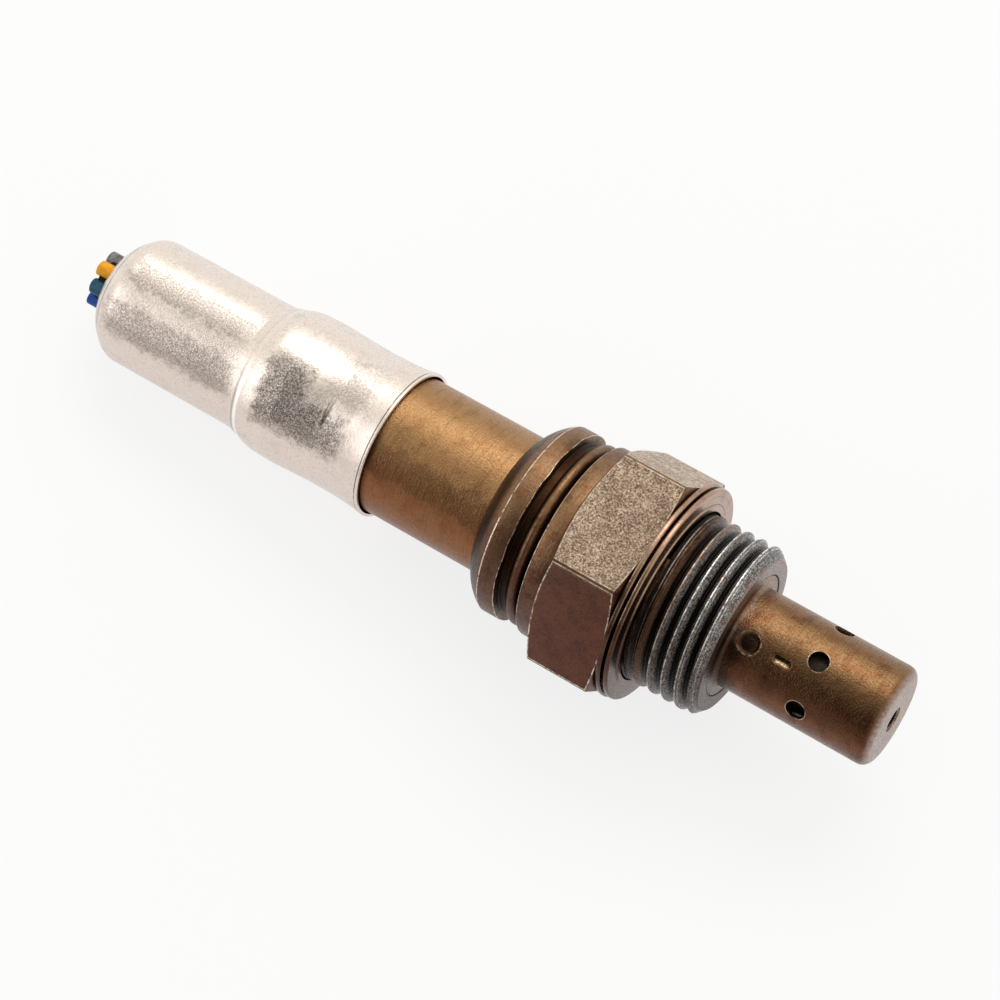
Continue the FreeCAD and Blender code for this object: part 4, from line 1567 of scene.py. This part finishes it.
@dataclass(frozen=True)
class ThreadFinish(Finish):
    """Thread: dark bronze near the gasket, then a dull grey speckled compound over partly rubbed crests.

    The crest's lines, partly painted highlight, and the painted shade beside them are placed in shares of
    the pitch from its middle.
    """

    name: str = "thread_coat"
    thread: Thread = Thread()
    steel: Colour = rgb(0.2, 0.11, 0.065)
    coating: Colour = rgb(0.38, 0.37, 0.365)
    fleck: Colour = rgb(0.05, 0.047, 0.045)
    soot_and_painted_shade: Colour = rgb(0.008, 0.006, 0.005)
    rust: Colour = rgb(0.2, 0.085, 0.05)
    # Crest line colours: partly rubbed through the compound, partly painted highlight.
    rubbed: Colour = rgb(1.0, 0.95, 0.9)
    rubbed_steel_and_highlight: Colour = rgb(0.45, 0.3, 0.2)
    face: Colour = rgb(0.3, 0.23, 0.205)
    shading: Colour = rgb(0.3, 0.24, 0.22)
    metallic: float = 0.95
    speckle: Noise = Noise(5.0, 3.0, 0.8)
    streaks: Noise = Noise(1.0, 3.0, 0.6, (8.0, 0.7, 0.7))
    blotches: Noise = Noise(0.8, 4.0, 0.65)
    wear: Noise = Noise(1.4, 5.0, 0.75)
    coat_wander: float = 2.6
    coated: Span = Span(4.6, 6.0)
    flecked: Span = Span(0.42, 0.6)
    streaked: Span = Span(0.5, 0.62, 0.0, 0.6)
    rusty: Span = Span(0.54, 0.64, 0.0, 0.6)
    near_gasket: Span = Span(3.2, 2.4)
    near_streaked: Span = Span(0.4, 0.55, 0.3, 0.9)
    front: Span = Span(9.15, 9.38)
    face_flecked: Span = Span(0.45, 0.6, 0.0, 0.36)
    thread_groove_shade: Span = Span(8.36, 8.66, 1.0, 0.0)
    thread_groove_shade_end: Span = Span(8.5, 8.8, 1.0, 0.0)
    flank_middle: float = 0.36
    flank_painted_shade: Span = Span(0.09, 0.17, 0.88, 0.0)
    faint: Line = Line(-0.24, 0.045, 0.3)
    faint_broken: Span = Span(0.35, 0.5)
    crest: Line = Line(-0.04, 0.07)
    crest_radius: Span = Span(8.85, 8.93)
    crest_start: Span = Span(2.2, 4.2, 0.3, 1.0)
    second: Line = Line(0.14, 0.035, 0.6)
    second_start: Span = Span(5.5, 7.0)
    worn: Span = Span(0.42, 0.58, 0.15, 1.0)
    bore: Line = Line(6.6, 0.09)
    shaded: Span = Span(0.0, 1.0, 0.75, 0.97)
    roughness: Span = Span(0.3, 0.7, 0.2, 0.42)
    streak_relief: Relief = Relief(0.06, 0.8)
    speckle_relief: Relief = Relief(0.07, 0.9)

    def phase(self, graph: Graph) -> Socket:
        """Lay out where a place lies between two crests.

        Args:
            graph: The material's helper.

        Returns:
            Share of the pitch in front of the nearest crest, from -0.5 to 0.5.
        """
        turns = graph.math("DIVIDE", graph.minus(graph.station(), self.thread.first_crest),
                           self.thread.pitch)
        turns = graph.plus(turns, graph.math("DIVIDE", graph.angle(), TURN))
        return graph.minus(graph.math("FLOORED_MODULO", graph.plus(turns, 0.5), 1.0), 0.5)

    def compound(self, graph: Graph, speckle: Socket, streaks: Socket) -> tuple[Socket, Socket]:
        """Lay out the steel with the grey compound over it.

        Args:
            graph: The material's helper.
            speckle: Fine noise.
            streaks: Noise drawn out round the thread.

        Returns:
            The colour, and the share of the compound.
        """
        blotches = graph.noise(self.blotches)
        station = graph.station()
        coated = graph.ease(graph.plus(station, graph.times(blotches, self.coat_wander)), self.coated)
        grey = graph.blend(graph.ease(speckle, self.flecked), self.coating, self.fleck)
        grey = graph.blend(graph.ease(streaks, self.streaked), grey, self.fleck)
        grey = graph.blend(graph.ease(blotches, self.rusty), grey, self.rust)
        tone = graph.blend(coated, self.steel, grey)
        near = graph.times(graph.ease(station, self.near_gasket), graph.ease(streaks, self.near_streaked))
        return graph.blend(near, tone, self.soot_and_painted_shade), coated

    def coat(self, graph: Graph) -> None:
        """Lay out the compound, the front face, the grooves' painted shade and the crests' worn and painted
        highlights.

        Args:
            graph: The material's helper.
        """
        radius = graph.radius()
        station = graph.station()
        phase = self.phase(graph)
        speckle = graph.noise(self.speckle)
        streaks = graph.noise(self.streaks)
        tone, coated = self.compound(graph, speckle, streaks)
        front = graph.ease(station, self.front)
        behind = graph.minus(1.0, front)
        face = graph.blend(graph.ease(speckle, self.face_flecked), self.face, self.fleck)
        tone = graph.blend(front, tone, face)
        # Painted shade in the thread's grooves and along one flank of each ridge.
        flank = graph.math("ABSOLUTE", graph.plus(phase, self.flank_middle))
        thread_groove_shade = graph.math("MAXIMUM", graph.ease(radius, self.thread_groove_shade), graph.ease(flank, self.flank_painted_shade))
        tone = graph.blend(graph.times(thread_groove_shade, graph.ease(station, self.thread_groove_shade_end)), tone, self.soot_and_painted_shade)
        # Bright lines along the crests: partly rubbed through the compound, partly painted highlight.
        faint = graph.times(graph.line(phase, self.faint), graph.ease(streaks, self.faint_broken), behind)
        tone = graph.blend(faint, tone, self.rubbed)
        worn = graph.ease(graph.noise(self.wear), self.worn)
        crest = graph.times(graph.line(phase, self.crest), graph.ease(radius, self.crest_radius), worn,
                            behind, graph.ease(station, self.crest_start))
        tone = graph.blend(crest, tone, graph.blend(coated, self.rubbed_steel_and_highlight, self.rubbed))
        second = graph.times(graph.line(phase, self.second), worn, behind,
                             graph.ease(station, self.second_start))
        tone = graph.blend(second, tone, self.rubbed)
        # Painted shade: a dark ring in the gap round the protection tube's flange.
        tone = graph.blend(graph.times(graph.line(radius, self.bore), front), tone, self.soot_and_painted_shade)
        shaded = graph.times(graph.shaded_side(), graph.ease(front, self.shaded))
        tone = graph.blend(shaded, tone, graph.dye(tone, self.shading))
        normal = graph.bump(speckle, self.speckle_relief, graph.bump(streaks, self.streak_relief))
        graph.finish(tone, self.metallic, graph.ease(speckle, self.roughness), normal)


@dataclass(frozen=True)
class ProtectorFinish(BronzeFinish):
    """Protection tube: heat tint with sparkles, pale rims round its holes and painted shade in its round
    dimples.
    """

    tube: OuterProtector = OuterProtector()
    rim: Colour = rgb(0.5, 0.4, 0.3)
    # Colour of the painted shade in the dimples, at the root and in the end hole.
    soot_and_painted_shade: Colour = rgb(0.02, 0.013, 0.01)
    root_tint: Colour = rgb(0.24, 0.18, 0.16)
    tip_tint: Colour = rgb(0.42, 0.32, 0.28)
    painted_glint: Colour = rgb(0.6, 0.42, 0.24)
    wear: Noise = Noise(1.6, 3.0)
    slot_wear: Noise = Noise(3.0)
    root_wear: Noise = Noise(1.2, 4.0, 0.75)
    dust: Noise = Noise(2.4, 5.0, 0.75)
    worn: Span = Span(0.35, 0.55)
    rim_width: float = 0.13
    dimple_painted_shade: Span = Span(0.84, 1.12, 0.75, 0.0)
    dimple_lip: Line = Line(1.18, 0.1, 0.8)
    slot_ends: Span = Span(0.75, 0.95, 1.0, 0.0)
    slot_upper: Line = Line(0.15, 0.3, 0.9)
    slot_lower: Line = Line(-0.22, 0.2)
    slot_worn: Span = Span(0.3, 0.6)
    root: Span = Span(10.6, 9.7)
    root_worn: Span = Span(0.4, 0.58)
    root_tint_lit_side: Span = Span(0.1, 0.6, 0.7, 0.1)
    root_painted_shade: PaintedShadeBand = PaintedShadeBand(7.0, 11.4, -62.0, 62.0, 0.72)
    tip: Span = Span(25.3, 25.85, 0.0, 0.75)
    dusty: Span = Span(0.4, 0.58, 0.45, 1.0)
    end_hole_painted_shade: Span = Span(1.0, 1.08, 0.95, 0.0)

    def beside(self, graph: Graph, angle: float, count: int) -> Socket:
        """Lay out the distance round the tube's skin from the nearest of several angles.

        Args:
            graph: The material's helper.
            angle: The first angle in degrees.
            count: How many angles are spaced round the tube.

        Returns:
            The distance in millimetres, with its sign.
        """
        step = TURN / count
        turned = graph.minus(graph.angle(), math.radians(angle) - step / 2)
        nearest = graph.minus(graph.math("FLOORED_MODULO", turned, step), step / 2)
        return graph.times(nearest, self.tube.radius)

    def away(self, graph: Graph, station: float, angle: float, count: int) -> Socket:
        """Lay out the distance over the tube's skin to the nearest of several places round it.

        Args:
            graph: The material's helper.
            station: Station of the places.
            angle: Angle of the first place in degrees.
            count: How many places there are.

        Returns:
            The distance in millimetres.
        """
        along = graph.minus(graph.station(), station)
        return graph.length(along, self.beside(graph, angle, count), 0.0)

    def slots(self, graph: Graph, tone: Socket) -> Socket:
        """Paint shade on the upper half of each long dimple and a broken painted highlight on its lower
        half.

        Args:
            graph: The material's helper.
            tone: The colour so far.

        Returns:
            The new colour.
        """
        tube = self.tube
        off = graph.math("ABSOLUTE", graph.minus(graph.station(), tube.long_dimple.station))
        inside = graph.ease(off, self.slot_ends)
        beside = self.beside(graph, tube.dimple_angle, tube.dimple_rows)
        # Painted shade on the upper half, painted highlight on the lower half.
        upper = graph.times(graph.line(beside, self.slot_upper), inside)
        lower = graph.times(graph.line(beside, self.slot_lower), inside,
                            graph.ease(graph.noise(self.slot_wear), self.slot_worn))
        return graph.blend(lower, graph.blend(upper, tone, self.soot_and_painted_shade), self.painted_glint)

    def coat(self, graph: Graph) -> None:
        """Lay out the tint, the rims, the dimples, the root's painted light and shade, the dusty tip and
        the end hole's shade.

        Args:
            graph: The material's helper.
        """
        tube = self.tube
        tone, rough, normal = self.surface(graph)
        worn = graph.ease(graph.noise(self.wear), self.worn)
        hole = self.away(graph, tube.hole_station, tube.hole_angle, tube.holes)
        hole_radius = tube.hole_diameter / 2
        rubbed = graph.ease(hole, Span(hole_radius, hole_radius + self.rim_width, 1.0, 0.0))
        tone = graph.blend(graph.times(rubbed, worn), tone, self.rim)
        dimple = self.away(graph, tube.round_dimple.station, tube.dimple_angle, tube.dimple_rows)
        # Painted shade inside the round dimples.
        tone = graph.blend(graph.ease(dimple, self.dimple_painted_shade), tone, self.soot_and_painted_shade)
        tone = graph.blend(graph.times(graph.line(dimple, self.dimple_lip), worn), tone, self.rim)
        tone = self.slots(graph, tone)
        station = graph.station()
        # Pale tint at the root, kept to the lit side: partly real tint, partly painted light.
        root = graph.times(graph.ease(station, self.root),
                           graph.ease(graph.noise(self.root_wear), self.root_worn),
                           graph.ease(graph.shaded_side(), self.root_tint_lit_side))
        tone = graph.blend(root, tone, self.root_tint)
        # Painted shade at the root, towards the lower side.
        tone = graph.blend(self.root_painted_shade.cover(graph, graph.noise(self.drift)), tone, self.soot_and_painted_shade)
        tip = graph.times(graph.ease(station, self.tip), graph.ease(graph.noise(self.dust), self.dusty))
        tone = graph.blend(tip, tone, self.tip_tint)
        # Painted shade inside the end hole.
        tone = graph.blend(graph.ease(graph.radius(), self.end_hole_painted_shade), tone, self.soot_and_painted_shade)
        graph.finish(tone, 1.0, rough, normal)


@dataclass(frozen=True)
class GasketFinish(BronzeFinish):
    """Gasket: heat tint, with painted shadows along the sheet's folds as dark lines on its front face."""

    fold_shadow: Colour = rgb(0.012, 0.007, 0.005)
    front: Span = Span(1.25, 1.3)
    fold_shadows: tuple = (Line(9.9, 0.07, 0.95), Line(10.75, 0.045, 0.6))

    def coat(self, graph: Graph) -> None:
        """Lay out the tint and the painted fold shadows.

        Args:
            graph: The material's helper.
        """
        tone, rough, normal = self.surface(graph)
        radius = graph.radius()
        front = graph.ease(graph.station(), self.front)
        # Painted shadows: dark lines round the front face where the sheet is lapped and folded.
        for fold_shadow in self.fold_shadows:
            tone = graph.blend(graph.times(graph.line(radius, fold_shadow), front), tone, self.fold_shadow)
        graph.finish(tone, 1.0, rough, normal)


@dataclass(frozen=True)
class PlainFinish(Finish):
    """Non-metals and hidden metals: one tone broken up by fine and slow noise."""

    light: Colour
    dark: Colour
    roughness: float
    metallic: float = 0.0
    grain: Noise = Noise(3.0, 3.0, 0.6)
    slow: Noise = Noise(0.4)
    darkened: Span = Span(0.3, 0.75)
    slowly_darkened: Span = Span(0.4, 0.8, 0.0, 0.3)
    grain_relief: Relief = Relief(0.01, 0.6)
    sheen: float = 0.5

    def coat(self, graph: Graph) -> None:
        """Lay out the tone and its sheen.

        Args:
            graph: The material's helper.
        """
        grain = graph.noise(self.grain)
        tone = graph.blend(graph.ease(grain, self.darkened), self.light, self.dark)
        tone = graph.blend(graph.ease(graph.noise(self.slow), self.slowly_darkened), tone, self.dark)
        graph.feed(graph.shader, {"Specular IOR Level": self.sheen})
        graph.finish(tone, self.metallic, self.roughness, graph.bump(grain, self.grain_relief))


class Palette:
    """Every finish of the sensor, built once."""

    def __init__(self) -> None:
        """Build the materials."""
        self.silver = SilverFinish().build()
        # The tube and the protection tube each get a band of painted shade for a dark reflection.
        self.tube = BronzeFinish("tube_bronze", rgb(0.4, 0.225, 0.1), rgb(0.25, 0.108, 0.046), 0.32,
                                 brushing_relief=Relief(0.025, 0.6), grain_relief=Relief(0.075, 0.7),
                                 mottle=0.55, patch=0.3,
                                 painted_shade_band=PaintedShadeBand(-31.5, -14.5, -37.5, 16.0, 0.36)).build()
        self.shell = BronzeFinish("shell_bronze", rgb(0.26, 0.15, 0.078), rgb(0.125, 0.064, 0.043), 0.36,
                                  brushing_relief=Relief(0.03, 0.6), grain_relief=Relief(0.06, 0.7),
                                  mottle=0.8, patch=0.75, groove_painted_shade=Span(9.3, 10.0, 0.85, 0.0)).build()
        self.gasket = GasketFinish("gasket_bronze", rgb(0.43, 0.29, 0.2), rgb(0.08, 0.034, 0.021), 0.22,
                                   mottle=0.3).build()
        self.protector = ProtectorFinish("protector_bronze", rgb(0.255, 0.14, 0.065),
                                         rgb(0.155, 0.063, 0.031), 0.24,
                                         brushing_relief=Relief(0.008, 0.6),
                                         grain_relief=Relief(0.085, 0.7), mottle=0.75, patch=0.8,
                                         painted_shade_band=PaintedShadeBand(11.5, 27.5, -34.0, 40.0, 0.45)).build()
        # Near black, partly soot and partly painted shade, so that the gas holes look dark inside.
        self.soot_and_shade_finish = PlainFinish("soot_and_shade_tube", rgb(0.05, 0.035, 0.025), rgb(0.02, 0.015, 0.012), 0.5,
                                 0.8).build()
        self.hex_flats = HexFlatFinish().build()
        self.thread = ThreadFinish().build()
        self.worn_edge = WornEdgeFinish("worn_edge", Span(0.4, 0.5), 0.25, rgb(0.7, 0.58, 0.45),
                                        rgb(0.1, 0.06, 0.04)).build()
        self.worn_rim = WornEdgeFinish("worn_rim", Span(0.4, 0.52), 1.0, rgb(0.62, 0.5, 0.4)).build()
        self.rubber = PlainFinish("seal_rubber", rgb(0.006, 0.006, 0.006), rgb(0.003, 0.003, 0.003),
                                  0.75, sheen=0.2).build()
        self.strand = PlainFinish("conductor_strands", rgb(0.7, 0.55, 0.4), rgb(0.5, 0.36, 0.24), 0.3,
                                  1.0).build()
        self.ceramic = PlainFinish("white_ceramic", rgb(0.78, 0.76, 0.7), rgb(0.62, 0.6, 0.55),
                                   0.65).build()
        self.element = PlainFinish("element_ceramic", rgb(0.7, 0.7, 0.66), rgb(0.55, 0.55, 0.52),
                                   0.5).build()
        self.talc = PlainFinish("pressed_talc", rgb(0.6, 0.6, 0.57), rgb(0.45, 0.45, 0.43), 0.85).build()
        self.steel = PlainFinish("bright_steel", rgb(0.55, 0.54, 0.52), rgb(0.4, 0.39, 0.37), 0.32,
                                 1.0).build()


WIRES = (
    Wire("grey", rgb(0.24, 0.25, 0.23), rgb(0.07, 0.07, 0.065), 56.0, -67.75, 0.06),
    Wire("yellow", rgb(0.9, 0.42, 0.012), rgb(0.65, 0.24, 0.008), 3.0, -67.45, 0.04),
    Wire("teal", rgb(0.018, 0.11, 0.16), rgb(0.006, 0.04, 0.065), -48.0, -67.2, -0.05),
    Wire("blue", rgb(0.004, 0.08, 0.42), rgb(0.002, 0.035, 0.2), -97.0, -67.6, 0.06),
    Wire("black", rgb(0.014, 0.014, 0.015), rgb(0.008, 0.008, 0.009), 161.0, -67.15, 0.03),
)


def dress_hidden(palette: Palette) -> None:
    """Give the CAD nodes that stay their finishes.

    Args:
        palette: The sensor's finishes.
    """
    steel = ["spring_clamp", "sheet_packing", "metal_cup", "packing_ring"]
    steel += ["contact_" + wire.colour for wire in WIRES]
    dressed = (
        # The inner protector is near black: partly soot, partly painted shade inside the gas holes.
        (palette.soot_and_shade_finish, ["inner_protector"]),
        (palette.rubber, ["wire_grommet"]),
        (palette.ceramic, ["rear_insulator", "front_insulator", "front_ceramic", "rear_ceramic"]),
        (palette.element, ["sensor_element"]),
        (palette.talc, ["front_talc", "rear_talc"]),
        (palette.steel, steel),
    )
    for finish, nodes in dressed:
        for node in nodes:
            materials = frame["nodes"][node].data.materials
            materials.clear()
            materials.append(finish)


@dataclass(frozen=True)
class StudioCamera:
    """Camera at the photograph's viewing angle."""

    distance: float = 312.0
    target_station: float = -18.5
    tip_lean: float = 18.0
    view_angle: float = -19.0
    roll: float = 29.2
    focal_share: float = 3.184
    sensor_width: float = 36.0
    clip_start: float = 0.01
    clip_end: float = 20.0

    def build(self) -> None:
        """Place the camera and make it the scene's."""
        lean = math.radians(self.tip_lean)
        roll = math.radians(self.roll)
        away = SENSOR.direction(self.view_angle, -self.tip_lean)
        level = (SENSOR.forward - away * math.sin(lean)) / math.cos(lean)
        upright = away.cross(level)
        right = level * math.cos(roll) + upright * math.sin(roll)
        up = upright * math.cos(roll) - level * math.sin(roll)
        target = SENSOR.seat + SENSOR.forward * self.target_station * MM
        data = bpy.data.cameras.new("studio_camera")
        data.sensor_width = self.sensor_width
        data.lens = self.focal_share * self.sensor_width
        data.clip_start = self.clip_start
        data.clip_end = self.clip_end
        camera = add_object("studio_camera", data)
        turn = Matrix((right, up, away)).transposed().to_4x4()
        camera.matrix_world = Matrix.Translation(target + away * self.distance * MM) @ turn
        bpy.context.scene.camera = camera


@dataclass(frozen=True)
class Softbox:
    """Rectangular soft light aimed at the sensor, with its length along it. Its sizes are in metres."""

    name: str
    lean: float
    turn: float
    length: float
    width: float
    radiance: float
    distance: float = 0.7

    def build(self) -> None:
        """Place the light."""
        data = bpy.data.lights.new(self.name, "AREA")
        data.shape = "RECTANGLE"
        data.size = self.length
        data.size_y = self.width
        data.energy = self.radiance * math.pi * self.length * self.width
        light = add_object(self.name, data)
        away = SENSOR.direction(self.turn, self.lean)
        across = away.cross(SENSOR.forward).normalized()
        turned = Matrix((across.cross(away), across, away)).transposed().to_4x4()
        light.matrix_world = Matrix.Translation(away * self.distance) @ turned


@dataclass(frozen=True)
class Studio:
    """White floor, pale tent with a dark opening above, and two softboxes."""

    tent: Colour = rgb(0.95, 0.93, 0.88)
    opening: Colour = rgb(0.17, 0.16, 0.155)
    opening_lean: float = 5.0
    opening_turn: float = -45.0
    opening_edge: float = 52.0
    opening_core: float = 20.0
    floor_size: float = 3.0
    floor_colour: Colour = rgb(0.86, 0.86, 0.86)
    floor_roughness: float = 0.8
    floor_lift: float = 0.8
    key: Softbox = Softbox("key_softbox", 2.0, 37.0, 0.62, 0.36, 2.3)
    rear: Softbox = Softbox("rear_softbox", 42.0, -46.0, 0.26, 0.6, 2.1)

    def world(self) -> None:
        """Make the world pale all round, and dark towards the opening that the camera looks through."""
        world = bpy.data.worlds.new("studio_tent")
        world.use_nodes = True
        tree = NodeTree(world.node_tree)
        around = tree.put("TexCoord", {}).outputs["Generated"]
        opening = SENSOR.direction(self.opening_turn, self.opening_lean)
        towards = tree.put("VectorMath", {0: around, 1: opening}, operation="DOT_PRODUCT")
        span = Span(math.cos(math.radians(self.opening_edge)), math.cos(math.radians(self.opening_core)))
        colour = tree.blend(tree.ease(towards.outputs["Value"], span), self.tent, self.opening)
        tree.feed(tree.nodes["Background"], {"Color": colour})
        bpy.context.scene.world = world

    def floor_finish(self) -> bpy.types.Material:
        """Lay out the floor's finish, which is lifted to white for the rays that show it.

        Returns:
            The material.
        """
        material = bpy.data.materials.new("studio_floor")
        material.use_nodes = True
        tree = NodeTree(material.node_tree)
        shader = tree.nodes["Principled BSDF"]
        tree.feed(shader, {"Base Color": self.floor_colour, "Roughness": self.floor_roughness})
        path = tree.put("LightPath", {}).outputs
        seen = tree.math("MAXIMUM", path["Is Camera Ray"], path["Is Glossy Ray"])
        shown = tree.math("MAXIMUM", seen, path["Is Transmission Ray"])
        glow = tree.put("Emission", {}).outputs[0]
        mix = tree.put("MixShader", {"Fac": tree.times(shown, self.floor_lift), 1: shader.outputs[0],
                                     2: glow})
        tree.feed(tree.nodes["Material Output"], {"Surface": mix.outputs[0]})
        return material

    def floor(self) -> None:
        """Lay the white floor that keeps the sensor's shadow."""
        mesh = bmesh.new()
        bmesh.ops.create_grid(mesh, x_segments=2, y_segments=2, size=self.floor_size / 2)
        floor = add_object("studio_floor", pour(mesh, "studio_floor"))
        floor.data.materials.append(self.floor_finish())

    def build(self) -> None:
        """Put up the whole studio."""
        self.world()
        self.floor()
        self.key.build()
        self.rear.build()
        bpy.context.scene.view_settings.view_transform = "Standard"


def main() -> None:
    """Build the studio and every piece of the sensor."""
    logging.basicConfig(level=logging.INFO, format="%(relativeCreated)d %(name)s: %(message)s")
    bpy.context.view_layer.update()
    StudioCamera().build()
    Studio().build()
    palette = Palette()
    RearSleeve().build(palette)
    HeatTube().build(palette)
    Shell().build(palette)
    CrushGasket().build(palette)
    OuterProtector().build(palette)
    SealNose().build(palette)
    for wire in WIRES:
        wire.build(palette)
    dress_hidden(palette)


if __name__ == "__main__":
    main()
